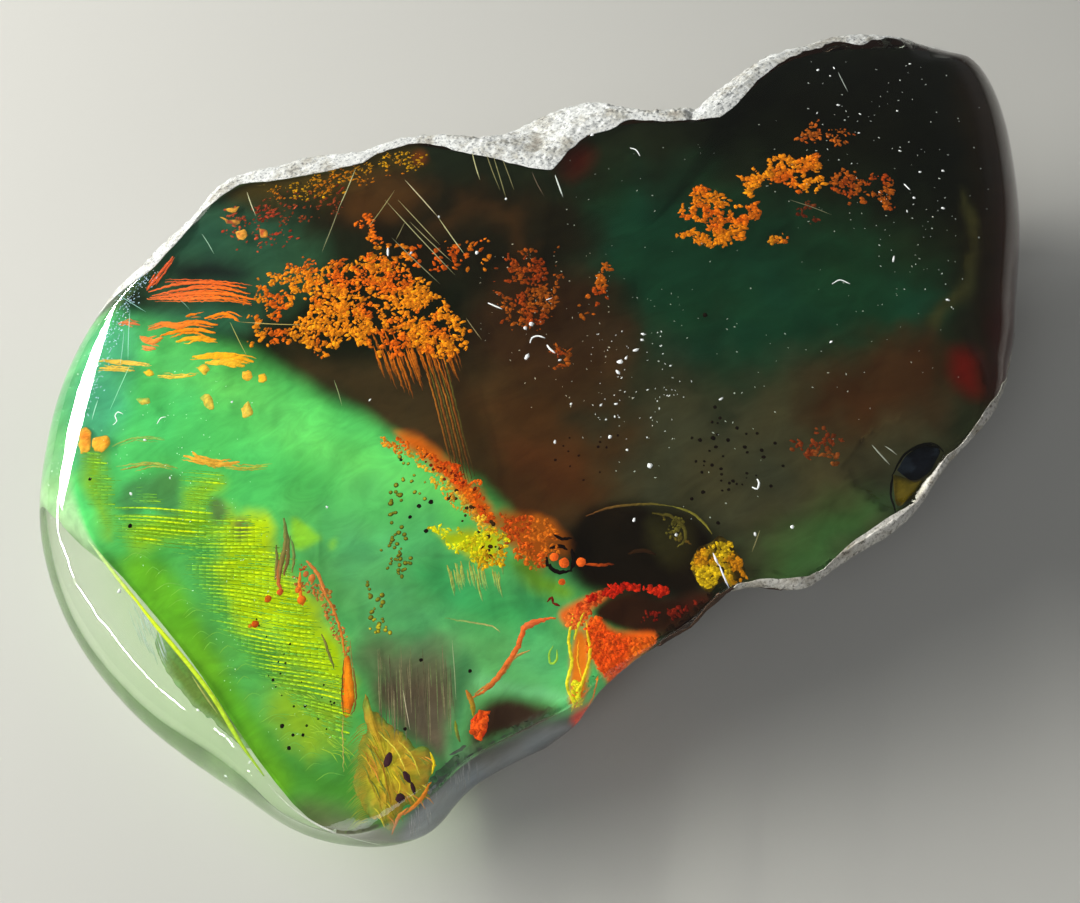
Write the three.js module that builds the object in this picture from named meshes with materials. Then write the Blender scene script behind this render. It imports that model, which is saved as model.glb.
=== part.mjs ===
import * as THREE from 'three';
import { ImprovedNoise } from 'three/addons/math/ImprovedNoise.js';

// A lump of raw amber with one broad polished window on top, in millimetres with +Z up.
// It is a single solid. It rests on a worn flat at z = 0, and its longest way runs along X.

// Driving dimensions
const LENGTH = 105;
const WIDTH = 67;
const WINDOW_HEIGHT = 19.5;
const WINDOW_RISE = 0.11;
const WINDOW_TILT = 0.03;
const WINDOW_CROWN = 2.5;
const THIN_END_START = -20;
const THIN_END_DROP = 0.003;

// Underside: a rounded belly of rind around the flat that the piece rests on
const FOOT_SHARE_OF_WAIST = 0.38;
const BELLY_RINGS = [0.95, 0.88, 0.81, 0.73, 0.65];
const REST_REACH = 0.55;
const BELLY_ROUNDNESS = 1.6;
const BELLY_LUMP_SHARE = 1.2;
const BELLY_LIFT = 0.8;
const FULL_RELIEF_FOOT = 5;
const BELLY_SMOOTHING = 5;

// Natural rind and broken edges
const LUMP_SIZE = 10;
const LUMP_DEPTH = 1.5;
const PIT_SIZE = 4.2;
const PIT_DEPTH = 0.8;
const SCOOP_SIZE = 7;
const SCOOP_START = 0.12;
const SCOOP_DEPTH = 4.5;
const LEDGE_RISE = 4.6;
const LEDGE_DEPTH = 1.8;
const LEDGE_WANDER = 2.5;
const LEDGE_LENGTH = 14;
const SMOOTH_LUMP_SHARE = 0.12;
const CRUST_RISE_SHARE = 0.5;
const CRUST_SPREAD_SHARE = 0.6;
const BROW_DROP = 0.2;

// Mesh steps
const STEPS_PER_POINT = 2;
const WINDOW_RINGS = [0.16, 0.34, 0.52, 0.68, 0.81, 0.9, 0.96];
const SHOULDER_STEPS = 5;
const WALL_STEPS = 6;

// Every reach is measured outward from this point inside the outline.
const HEART = new THREE.Vector2(-9.5, -8);

// The rim, clockwise from the far left, in stretches that broke or were ground in one way.
// A row is x, y, the height of the widest place there, and how far in from it the window ends.
// tuck is how far the foot stands in under the widest place. lean is 0 where the wall bulges down to
// its foot, and 1 where it is cut straight back. roughness runs from 0 to 1.
const farBrokenEdge = {
  tuck: 3.5,
  lean: 0,
  roughness: 1,
  rows: [
    [-28.5, 32.5, 11, 4],
    [-25, 34.5, 12, 4],
    [-21, 34, 14, 3],
    [-16, 31.5, 15.5, 3],
    [-10.5, 28.5, 16.5, 2],
    [-6, 27.5, 17.5, 1.5],
    [-1.5, 24, 17, 3.5],
    [0.5, 22.5, 17, 3.5],
    [3, 22.5, 16, 5.5],
    [8, 23.5, 15, 9.5],
    [10, 23.5, 15, 8.5],
    [12, 22.5, 15.5, 7],
    [13.5, 20, 17, 5],
    [14, 18, 18.5, 3],
    [15.5, 15.5, 19.5, 1.5],
    [17, 14.5, 20, 1.5],
    [19, 14, 19.5, 2.5],
    [20, 13.5, 19, 4],
    [22, 14.5, 18.5, 6.5],
    [25, 15.5, 18.5, 8],
    [28, 16, 19, 7.5],
    [31, 16.5, 19.5, 4.5],
    [35.5, 15.5, 20, 3],
    [41.5, 13, 20.5, 3],
  ],
};

const softRightShoulder = {
  tuck: 7,
  lean: 0,
  roughness: 0.15,
  rows: [
    [44, 11.5, 19.5, 5],
    [46.5, 10.5, 18, 8],
    [49.5, 9, 16, 12],
    [52, 7, 15, 13],
    [49.5, 0, 14, 12],
    [45.5, -6, 13.5, 10.5],
    [40, -13, 13, 9],
    [34, -19, 13, 9],
    [31, -22, 13.5, 8.5],
    [27.5, -24.5, 14.5, 7],
  ],
};

const nearRightLip = {
  tuck: 10,
  lean: 1,
  roughness: 0.35,
  rows: [
    [25, -26.5, 16, 5],
    [21.5, -28.5, 17.5, 3],
    [16, -30, 18.5, 1],
    [13.2, -31, 18.2, 1],
    [11, -32, 18, 1],
    [7.5, -32.7, 17.5, 1],
    [3, -33, 17, 0.7],
    [-1, -33.2, 16.7, 0.8],
    [-2.5, -32.2, 16.5, 0.8],
    [-4.5, -30.8, 16.2, 0.8],
    [-7, -30.3, 15.8, 0.4],
  ],
};

const steepFrontWall = {
  tuck: 7.5,
  lean: 1,
  roughness: 0.15,
  rows: [
    [-10.5, -31, 15, 0.4],
    [-13, -31, 14, 0.4],
    [-16.5, -31, 12.5, 0.3],
    [-18.5, -31, 11, 0.3],
    [-21, -31.5, 7.5, 0],
    [-24, -31, 5, -0.4],
    [-29, -30.5, 4, -0.4],
    [-31.5, -31, 3.5, 0],
    [-34, -32, 3.5, 1],
    [-37, -31.5, 3.5, 0],
  ],
};

const clearLeftFlank = {
  tuck: 4.5,
  lean: 0,
  roughness: 0,
  rows: [
    [-40, -29.5, 3.5, -1],
    [-44, -25.5, 4, 0],
    [-47, -19.5, 4.5, 3],
    [-50.5, -12.5, 5, 5.8],
    [-53, -2.5, 5, 6.5],
    [-52.5, 7.5, 6, 4.8],
    [-49.5, 15.5, 6, 4.5],
    [-45.5, 22.5, 6, 4.8],
    [-39.5, 28, 7, 4.5],
    [-33.5, 30, 9, 4.5],
  ],
};

const stretches = [farBrokenEdge, softRightShoulder, nearRightLip, steepFrontWall, clearLeftFlank];

// A chip out of the lip. Its depth fades out towards the rim, so that the thin lip stays whole.
const CHIP_FADE = 2.5;
const chips = [
  { x: 11.5, y: -30, reach: 4.4, depth: 2.4 },
];

const noise = new ImprovedNoise();

function windowHeight(x, y) {
  const alongShare = x / (LENGTH / 2);
  const acrossShare = y / (WIDTH / 2);
  const crown = WINDOW_CROWN * (alongShare * alongShare + acrossShare * acrossShare);
  const pastStart = Math.min(0, x - THIN_END_START);
  const thinEnd = THIN_END_DROP * pastStart * pastStart;
  return WINDOW_HEIGHT + WINDOW_RISE * x + WINDOW_TILT * y - crown - thinEnd;
}

function chipDepth(x, y, fromRim) {
  let depth = 0;
  for (const chip of chips) {
    const share = Math.hypot(x - chip.x, y - chip.y) / chip.reach;
    depth = Math.max(depth, chip.depth * Math.max(0, 1 - share * share));
  }
  return depth * Math.min(1, fromRim / CHIP_FADE);
}

function noiseAt(point, size) {
  return noise.noise(point.x / size, point.y / size, point.z / size);
}

// How far the rind stands out at a point: rounded lumps, small pits and a few wide scoops
function lumps(point) {
  const scoop = Math.max(0, noiseAt(point, SCOOP_SIZE) - SCOOP_START);
  return noiseAt(point, LUMP_SIZE) * LUMP_DEPTH + noiseAt(point, PIT_SIZE) * PIT_DEPTH
    - scoop * SCOOP_DEPTH;
}

// Steps in a broken wall: each one stands out at its foot and cuts back above.
function ledges(point) {
  const wander = LEDGE_WANDER * noise.noise(point.x / LEDGE_LENGTH, point.y / LEDGE_LENGTH, 0.5);
  const steps = (point.z + wander) / LEDGE_RISE;
  const share = steps - Math.floor(steps);
  return LEDGE_DEPTH * (0.5 - share) * Math.min(1, share * 6);
}

function reachOf(place) {
  return Math.hypot(place.x - HEART.x, place.y - HEART.y);
}

// The belly runs past the bays of the rim, so its reach is an average of its neighbours.
function averageReach(rim, index) {
  let sum = 0;
  for (let offset = -BELLY_SMOOTHING; offset <= BELLY_SMOOTHING; offset += 1) {
    const near = rim[(index + offset + rim.length) % rim.length];
    sum += reachOf(near.place) - near.edge.y;
  }
  return sum / (2 * BELLY_SMOOTHING + 1);
}

function rimPoints() {
  const places = [];
  const edges = [];
  const leans = [];
  for (const stretch of stretches) {
    for (const [x, y, waist, shoulder] of stretch.rows) {
      places.push(new THREE.Vector3(x, y, waist));
      edges.push(new THREE.Vector3(shoulder, stretch.tuck, stretch.roughness));
      leans.push(new THREE.Vector3(stretch.lean, 0, 0));
    }
  }
  const outline = new THREE.CatmullRomCurve3(places, true, 'centripetal');
  const edge = new THREE.CatmullRomCurve3(edges, true, 'centripetal');
  const lean = new THREE.CatmullRomCurve3(leans, true, 'catmullrom');
  const count = places.length * STEPS_PER_POINT;
  const rim = [];
  for (let i = 0; i < count; i += 1) {
    const along = i / count;
    rim.push({
      place: outline.getPoint(along),
      edge: edge.getPoint(along),
      lean: lean.getPoint(along).x,
    });
  }
  return rim;
}

// One line of points down the piece, from the middle of the window to the middle of the underside
function profile(place, edge, lean, bellyReach) {
  const outward = new THREE.Vector2(place.x - HEART.x, place.y - HEART.y).normalize();
  const reach = reachOf(place);
  const [shoulder, tuck, roughness] = edge.toArray();
  const browReach = reach - shoulder;
  const footReach = reach - tuck;
  const at = (distance, z) => new THREE.Vector3(
    HEART.x + outward.x * distance,
    HEART.y + outward.y * distance,
    z,
  );
  const line = [];

  for (const share of WINDOW_RINGS) {
    const point = at(browReach * share, 0);
    point.z = windowHeight(point.x, point.y)
      - chipDepth(point.x, point.y, reach - browReach * share);
    line.push(point);
  }

  const brow = at(browReach, 0);
  brow.z = windowHeight(brow.x, brow.y) - BROW_DROP;
  const waistHeight = Math.min(place.z, brow.z - 1);
  for (let step = 0; step < SHOULDER_STEPS; step += 1) {
    const turn = (step / SHOULDER_STEPS) * (Math.PI / 2);
    const out = browReach + shoulder * Math.sin(turn);
    const down = brow.z - (brow.z - waistHeight) * (1 - Math.cos(turn));
    const point = at(out, down);
    const wear = roughness * Math.sin(turn) * lumps(point);
    point.z += CRUST_RISE_SHARE * wear - chipDepth(point.x, point.y, reach - out);
    point.x += CRUST_SPREAD_SHARE * outward.x * wear;
    point.y += CRUST_SPREAD_SHARE * outward.y * wear;
    line.push(point);
  }

  const footHeight = waistHeight * FOOT_SHARE_OF_WAIST;
  for (let step = 0; step <= WALL_STEPS; step += 1) {
    const share = step / WALL_STEPS;
    const turn = share * (Math.PI / 2);
    const inward = tuck * THREE.MathUtils.lerp(1 - Math.cos(turn), Math.sin(turn), lean);
    const height = waistHeight - (waistHeight - footHeight) * Math.sin(turn);
    const point = at(reach - inward, height);
    const rough = Math.max(roughness, SMOOTH_LUMP_SHARE);
    const wear = rough * (lumps(point) + Math.sin(share * Math.PI) * ledges(point));
    point.x += outward.x * wear;
    point.y += outward.y * wear;
    line.push(point);
  }

  const relief = Math.min(1, footHeight / FULL_RELIEF_FOOT);
  for (const share of BELLY_RINGS) {
    const rise = (share - REST_REACH) / (1 - REST_REACH);
    const distance = share * THREE.MathUtils.lerp(bellyReach, footReach, rise * rise);
    const point = at(distance, footHeight * rise ** BELLY_ROUNDNESS);
    const rind = Math.max(-0.5, BELLY_LIFT - BELLY_LUMP_SHARE * lumps(point));
    point.z += relief * Math.sin(rise * Math.PI) * rind;
    line.push(point);
  }
  line.push(at(bellyReach * REST_REACH, 0));
  line.push(at(bellyReach * REST_REACH * 0.5, 0));
  return line;
}

function amberGeometry() {
  const rim = rimPoints();
  const lines = rim.map(({ place, edge, lean }, i) => (
    profile(place, edge, lean, averageReach(rim, i))
  ));
  const around = lines.length;
  const down = lines[0].length;
  const points = lines.flat();
  points.push(new THREE.Vector3(HEART.x, HEART.y, windowHeight(HEART.x, HEART.y)));
  points.push(new THREE.Vector3(HEART.x, HEART.y, 0));
  const topCentre = around * down;
  const underCentre = topCentre + 1;

  const faces = [];
  for (let i = 0; i < around; i += 1) {
    const here = i * down;
    const next = ((i + 1) % around) * down;
    faces.push(topCentre, next, here);
    for (let j = 0; j < down - 1; j += 1) {
      faces.push(here + j, next + j, here + j + 1);
      faces.push(next + j, next + j + 1, here + j + 1);
    }
    faces.push(here + down - 1, next + down - 1, underCentre);
  }

  const geometry = new THREE.BufferGeometry().setFromPoints(points);
  geometry.setIndex(faces);
  geometry.computeBoundingBox();
  const box = geometry.boundingBox;
  geometry.translate(-(box.min.x + box.max.x) / 2, -(box.min.y + box.max.y) / 2, 0);
  geometry.scale(LENGTH / (box.max.x - box.min.x), WIDTH / (box.max.y - box.min.y), 1);
  geometry.computeVertexNormals();
  return geometry;
}

function amberMaterial() {
  return new THREE.MeshStandardMaterial({
    color: new THREE.Color(0.16, 0.3, 0.1),
    roughness: 0.12,
    metalness: 0,
  });
}

const amber = new THREE.Mesh(amberGeometry(), amberMaterial());
amber.name = 'amber';

const roughAmber = new THREE.Group();
roughAmber.name = 'rough_amber';
roughAmber.add(amber);

export default roughAmber;
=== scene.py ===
# %% [markdown]
# A lump of raw amber with one polished window, rebuilt as a finished piece.
# The solid shape is already made and is loaded as a fixed frame. Everything here is looks: the clear
# resin, the green glow and the dark clouds in it, the crumbs and bubbles sealed inside, the crust on
# the broken rim and the dust on the polish.
# All sizes are in metres, and the piece lies on the floor at z = 0.

# %% Load the solid shape
import math
from collections import namedtuple

import bmesh
import bpy
import numpy as np
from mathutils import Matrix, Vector
from mathutils import noise as solid_noise
from mathutils.bvhtree import BVHTree


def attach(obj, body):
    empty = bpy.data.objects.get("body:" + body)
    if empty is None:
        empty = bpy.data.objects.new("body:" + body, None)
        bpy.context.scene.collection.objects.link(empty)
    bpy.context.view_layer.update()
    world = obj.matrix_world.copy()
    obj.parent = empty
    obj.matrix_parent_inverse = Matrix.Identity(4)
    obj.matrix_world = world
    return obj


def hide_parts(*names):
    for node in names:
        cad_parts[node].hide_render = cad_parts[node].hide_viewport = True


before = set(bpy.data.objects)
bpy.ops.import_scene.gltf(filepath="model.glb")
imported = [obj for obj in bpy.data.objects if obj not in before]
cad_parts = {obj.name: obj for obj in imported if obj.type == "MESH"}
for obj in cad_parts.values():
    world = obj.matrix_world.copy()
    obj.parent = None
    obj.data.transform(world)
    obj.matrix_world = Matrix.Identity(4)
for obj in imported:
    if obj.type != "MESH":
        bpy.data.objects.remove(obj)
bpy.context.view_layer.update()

MM = 0.001

# %% [markdown]
# The camera comes first, because the inclusions are placed by what the photograph shows.
# The photograph looks down at 55 degrees from close by. A lens of 40 mm on a 36 mm sensor, 104 mm from
# the piece, gives the same convergence: the near lip is large and the far rim small.

# %% Camera
AIM = Vector((-10.92, -10.19, 12)) * MM
VIEW_DISTANCE = 104 * MM
VIEW_ELEVATION = math.radians(55)
VIEW_TURN = math.radians(-30)
LENS = 40
SENSOR = 36
PICTURE_WIDTH = 1080
PICTURE_HEIGHT = 903
PIXELS_PER_UNIT = LENS / SENSOR * PICTURE_WIDTH

to_camera = Vector((
    math.sin(VIEW_TURN) * math.cos(VIEW_ELEVATION),
    -math.cos(VIEW_TURN) * math.cos(VIEW_ELEVATION),
    math.sin(VIEW_ELEVATION),
))
camera_right = Vector((math.cos(VIEW_TURN), math.sin(VIEW_TURN), 0))
camera_up = to_camera.cross(camera_right)
eye = AIM + to_camera * VIEW_DISTANCE

camera_data = bpy.data.cameras.new("camera")
camera_data.lens = LENS
camera_data.sensor_width = SENSOR
camera_data.sensor_fit = "HORIZONTAL"
camera_data.clip_start = 1 * MM
camera = bpy.data.objects.new("camera", camera_data)
camera.location = eye
camera.rotation_euler = (math.pi / 2 - VIEW_ELEVATION, 0, VIEW_TURN)
bpy.context.scene.collection.objects.link(camera)
bpy.context.scene.camera = camera
print("camera at mm:", [round(c / MM, 1) for c in eye])

# %% [markdown]
# Light. The key is one long thin strip behind the thin end, where the daylight came from. Being thin, it
# draws only a bright line along the ridge and does not wash over the window. A small hard lamp behind
# the far rim lights the broken crust, and a weak wide one fills the near side. The world stays dim,
# because the flat window mirrors it over the dark resin.

# %% Floor and lamps
KEY_DIRECTION = Vector((-0.84, 0.72, 0.605)).normalized()
KEY_DISTANCE = 0.36
KEY_LENGTH = 0.42
KEY_HEIGHT = 0.008
KEY_BEAM = 90
KEY_POWER = 0.58
RIM_DIRECTION = Vector((-0.33, 0.9, 0.27)).normalized()
RIM_DISTANCE = 0.5
RIM_SIZE = 0.06
RIM_POWER = 0.5
FILL_DIRECTION = Vector((-0.7, -0.45, 0.75)).normalized()
FILL_DISTANCE = 0.8
FILL_SIZE = 0.4
FILL_POWER = 0.2
FILL_BEAM = 60
WORLD_GREY = 0.1


def add_lamp(name, direction, distance, size, power, colour, height=None, beam=180):
    data = bpy.data.lights.new(name, "AREA")
    data.shape = "RECTANGLE"
    data.size = size
    data.size_y = height or size
    data.spread = math.radians(beam)
    data.energy = power
    data.color = colour
    lamp = bpy.data.objects.new(name, data)
    lamp.location = AIM + direction * distance
    lamp.rotation_euler = direction.to_track_quat("Z", "Y").to_euler()
    bpy.context.scene.collection.objects.link(lamp)
    print(name, "at mm:", [round(c / MM) for c in lamp.location])


add_lamp("key_lamp", KEY_DIRECTION, KEY_DISTANCE, KEY_LENGTH, KEY_POWER, (1.0, 0.98, 0.94), KEY_HEIGHT, KEY_BEAM)
add_lamp("rim_lamp", RIM_DIRECTION, RIM_DISTANCE, RIM_SIZE, RIM_POWER, (1.0, 1.0, 1.0))
add_lamp("fill_lamp", FILL_DIRECTION, FILL_DISTANCE, FILL_SIZE, FILL_POWER, (0.95, 0.97, 1.0), None, FILL_BEAM)

world = bpy.data.worlds.new("dim_studio")
world.use_nodes = True
world.node_tree.nodes["Background"].inputs["Color"].default_value = (WORLD_GREY, WORLD_GREY, WORLD_GREY, 1)
bpy.context.scene.world = world
bpy.context.scene.view_settings.view_transform = "Standard"

FLOOR_HALF_WIDTH = 2.0
floor_mesh = bpy.data.meshes.new("floor")
floor_mesh.from_pydata(
    [(sx * FLOOR_HALF_WIDTH, sy * FLOOR_HALF_WIDTH, 0) for sx, sy in ((-1, -1), (1, -1), (1, 1), (-1, 1))],
    [], [(0, 1, 2, 3)],
)
floor = bpy.data.objects.new("floor", floor_mesh)
bpy.context.scene.collection.objects.link(floor)
floor_finish = bpy.data.materials.new("pale_floor")
floor_finish.use_nodes = True
floor_shader = floor_finish.node_tree.nodes["Principled BSDF"]
floor_shader.inputs["Base Color"].default_value = (0.62, 0.62, 0.58, 1)
floor_shader.inputs["Roughness"].default_value = 0.8
floor_mesh.materials.append(floor_finish)

# %% [markdown]
# The body of resin. The solid is faceted, so its triangles are joined back into quads and rounded with
# two rounds of subdivision. That leaves a pucker where all the quads meet in the middle of the window.
# A real window is ground flat and polished, so a smooth curve is fitted through the measured window
# and every point that lies within a few hundredths of a millimetre is set onto it.

# %% Body mesh
SUBDIVISIONS = 2
JOIN_ANGLE = math.radians(70)
WINDOW_FACING = 0.9
WINDOW_LOWEST = 8 * MM
FIT_ROUNDS = 4
SNAP_NEAR = 0.10 * MM
SNAP_FAR = 0.35 * MM


def new_object(name, mesh):
    piece = bpy.data.objects.new(name, mesh)
    bpy.context.scene.collection.objects.link(piece)
    return piece


def rounded_copy(source, name):
    """A copy of a faceted solid, joined into quads and subdivided, with the rounding made real."""
    mesh = source.data.copy()
    shape = bmesh.new()
    shape.from_mesh(mesh)
    bmesh.ops.remove_doubles(shape, verts=shape.verts, dist=0.001 * MM)
    bmesh.ops.join_triangles(
        shape, faces=shape.faces, angle_face_threshold=JOIN_ANGLE, angle_shape_threshold=JOIN_ANGLE)
    shape.to_mesh(mesh)
    shape.free()
    mesh.materials.clear()
    piece = new_object(name, mesh)
    rounding = piece.modifiers.new("rounding", "SUBSURF")
    rounding.levels = SUBDIVISIONS
    rounding.render_levels = SUBDIVISIONS
    graph = bpy.context.evaluated_depsgraph_get()
    piece.data = bpy.data.meshes.new_from_object(piece.evaluated_get(graph))
    piece.modifiers.clear()
    return piece


def vertex_places(mesh):
    places = np.empty(len(mesh.vertices) * 3)
    mesh.vertices.foreach_get("co", places)
    return places.reshape(-1, 3)


def vertex_facings(mesh):
    facings = np.empty(len(mesh.vertices) * 3)
    mesh.vertex_normals.foreach_get("vector", facings)
    return facings.reshape(-1, 3)


def window_terms(places):
    """The terms of a smooth curved sheet of the fifth order at some points."""
    x = places[:, 0] / (50 * MM)
    y = places[:, 1] / (50 * MM)
    return np.stack([x ** i * y ** j for i in range(6) for j in range(6 - i)], axis=1)


def smooth_step(value):
    value = np.clip(value, 0, 1)
    return value * value * (3 - 2 * value)


body = rounded_copy(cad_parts["amber"], "amber_body")
places = vertex_places(body.data)
facings = vertex_facings(body.data)
on_window = facings[:, 2] > WINDOW_FACING
on_window &= places[:, 2] > WINDOW_LOWEST
for _ in range(FIT_ROUNDS):
    terms = window_terms(places)
    window_curve = np.linalg.lstsq(terms[on_window], places[on_window, 2], rcond=None)[0]
    off_curve = np.abs(places[:, 2] - terms @ window_curve)
    on_window &= off_curve < SNAP_FAR
snap = 1 - smooth_step((off_curve - SNAP_NEAR) / (SNAP_FAR - SNAP_NEAR))
snap *= facings[:, 2] > WINDOW_FACING
places[:, 2] += snap * (window_terms(places) @ window_curve - places[:, 2])
body.data.vertices.foreach_set("co", places.ravel())
body.data.update()
body.data.shade_smooth()
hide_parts("amber")
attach(body, "root")
print("body faces:", len(body.data.polygons), "set onto the window:", int((snap > 0.5).sum()))

# %% [markdown]
# Finding the way into the resin. What the camera sees at a pixel lies on a line that bends where it
# enters the polish. These helpers follow that line, so an inclusion can be set at a true depth in the
# resin and still show where the photograph has it. The piece then holds real depth: from another
# side the inclusions shift against each other as they do in the hand.

# %% Lines of sight
RESIN_IOR = 1.54

surface = BVHTree.FromPolygons(
    [tuple(p) for p in places], [tuple(face.vertices) for face in body.data.polygons]
)


def sight_line(px, py):
    """The way the camera looks through a pixel."""
    across = camera_right * ((px - PICTURE_WIDTH / 2) / PIXELS_PER_UNIT)
    upward = camera_up * ((PICTURE_HEIGHT / 2 - py) / PIXELS_PER_UNIT)
    return (across + upward - to_camera).normalized()


def bent(direction, facing):
    """The direction of a ray after the polish has bent it into the resin."""
    cos_in = -direction.dot(facing)
    ratio = 1 / RESIN_IOR
    cos_out = math.sqrt(1 - ratio * ratio * (1 - cos_in * cos_in))
    return direction * ratio + facing * (ratio * cos_in - cos_out)


def on_surface(px, py):
    """Where the line of sight of a pixel meets the body, with the way the surface faces there."""
    place, facing, _, _ = surface.ray_cast(eye, sight_line(px, py))
    return place, facing


def inside(px, py, depth):
    """The point that shows at a pixel and lies depth below the surface."""
    place, facing = on_surface(px, py)
    if place is None:
        return None, None
    inward = bent(sight_line(px, py), facing)
    return place + inward * (depth / max(0.2, -inward.dot(facing))), facing


# %% [markdown]
# Measuring the outline. The window's edge as the photograph shows it is drawn once, round the ridge,
# the crust, the shoulder and the lip. Each direction from the middle of the picture then gives how far
# the glow may reach before it would come out of the resin.

# %% The window's edge
PICTURE_MIDDLE = np.array((520.0, 430.0))
window_edge = [
    (152, 272), (178, 240), (205, 208), (240, 183), (270, 181), (300, 176), (335, 171), (380, 153),
    (410, 143), (440, 147), (485, 155), (525, 166), (552, 169), (566, 151), (590, 134), (630, 121),
    (680, 121), (720, 118), (745, 95), (780, 62), (830, 48), (915, 46), (966, 60), (1000, 92),
    (1014, 150), (1021, 230), (1021, 310), (1010, 380), (990, 420), (958, 445), (940, 500), (905, 522),
    (860, 548), (825, 578), (785, 584), (740, 586), (718, 602), (680, 626), (640, 662), (598, 704),
    (560, 738), (510, 768), (465, 800), (430, 838), (380, 846), (330, 835), (300, 815), (265, 773),
    (230, 722), (190, 662), (150, 612), (118, 575), (92, 545), (76, 500), (71, 455), (76, 400),
    (92, 350), (118, 308),
]


def rounded(outline, cuts=3):
    """An outline with its corners rounded by cutting them again and again."""
    corners = np.array(outline, float)
    for _ in range(cuts - 1):
        ahead = np.roll(corners, -1, axis=0)
        pairs = np.stack([corners * 0.75 + ahead * 0.25, corners * 0.25 + ahead * 0.75], axis=1)
        corners = pairs.reshape(-1, 2)
    return corners


def edge_distance(spots, outline):
    """How far each spot lies inside a closed outline, in pixels, and below zero outside it."""
    corners = np.array(outline, float)
    nearest = np.full(len(spots), 1e9)
    within = np.zeros(len(spots), bool)
    for start, end in zip(corners, np.roll(corners, -1, axis=0)):
        along = end - start
        share = np.clip((spots - start) @ along / (along @ along), 0, 1)
        gap = spots - start - share[:, None] * along
        nearest = np.minimum(nearest, np.hypot(gap[:, 0], gap[:, 1]))
        crosses = (start[1] > spots[:, 1]) != (end[1] > spots[:, 1])
        rise = along[1] if abs(along[1]) > 1e-9 else 1e-9
        within ^= crosses & (spots[:, 0] < start[0] + (spots[:, 1] - start[1]) / rise * along[0])
    return np.where(within, nearest, -nearest)


def edge_reach(angles, outline):
    """How far the outline lies from the middle of the picture in each direction."""
    corners = np.array(outline, float) - PICTURE_MIDDLE
    reach = np.zeros(len(angles))
    heading = np.stack([np.cos(angles), np.sin(angles)], axis=1)
    for start, end in zip(corners, np.roll(corners, -1, axis=0)):
        along = end - start
        turn = heading[:, 0] * along[1] - heading[:, 1] * along[0]
        turn = np.where(np.abs(turn) < 1e-9, 1e-9, turn)
        distance = (start[0] * along[1] - start[1] * along[0]) / turn
        share = (start[0] * heading[:, 1] - start[1] * heading[:, 0]) / turn
        reach = np.where((share >= 0) & (share < 1) & (distance > reach), distance, reach)
    return reach


LINES_AROUND = 600
RINGS_ACROSS = 118
angles = np.arange(LINES_AROUND) / LINES_AROUND * 2 * math.pi
window_reach = edge_reach(angles, rounded(window_edge, 2))
print("window reach in pixels:", int(window_reach.min()), "to", int(window_reach.max()))

# %% [markdown]
# The colours of the cloud. Each zone is a patch of colour that the resin shows: the bright green of
# its glow where the light falls in, which is painted light; near black and dark green at the far right,
# which is painted shade where no light gets in; brown where it is thick, red where it is old. At the
# front, grey zones are a painted reflection of the front wall, with a painted contact shadow along its foot.
# A zone has a plain outline, a softness, and a wander that makes its border drift like smoke. The
# zones are laid over one another in order, as glazes are.

# %% Zones of colour
Zone = namedtuple("Zone", "name colour soft wander outline")

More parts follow.
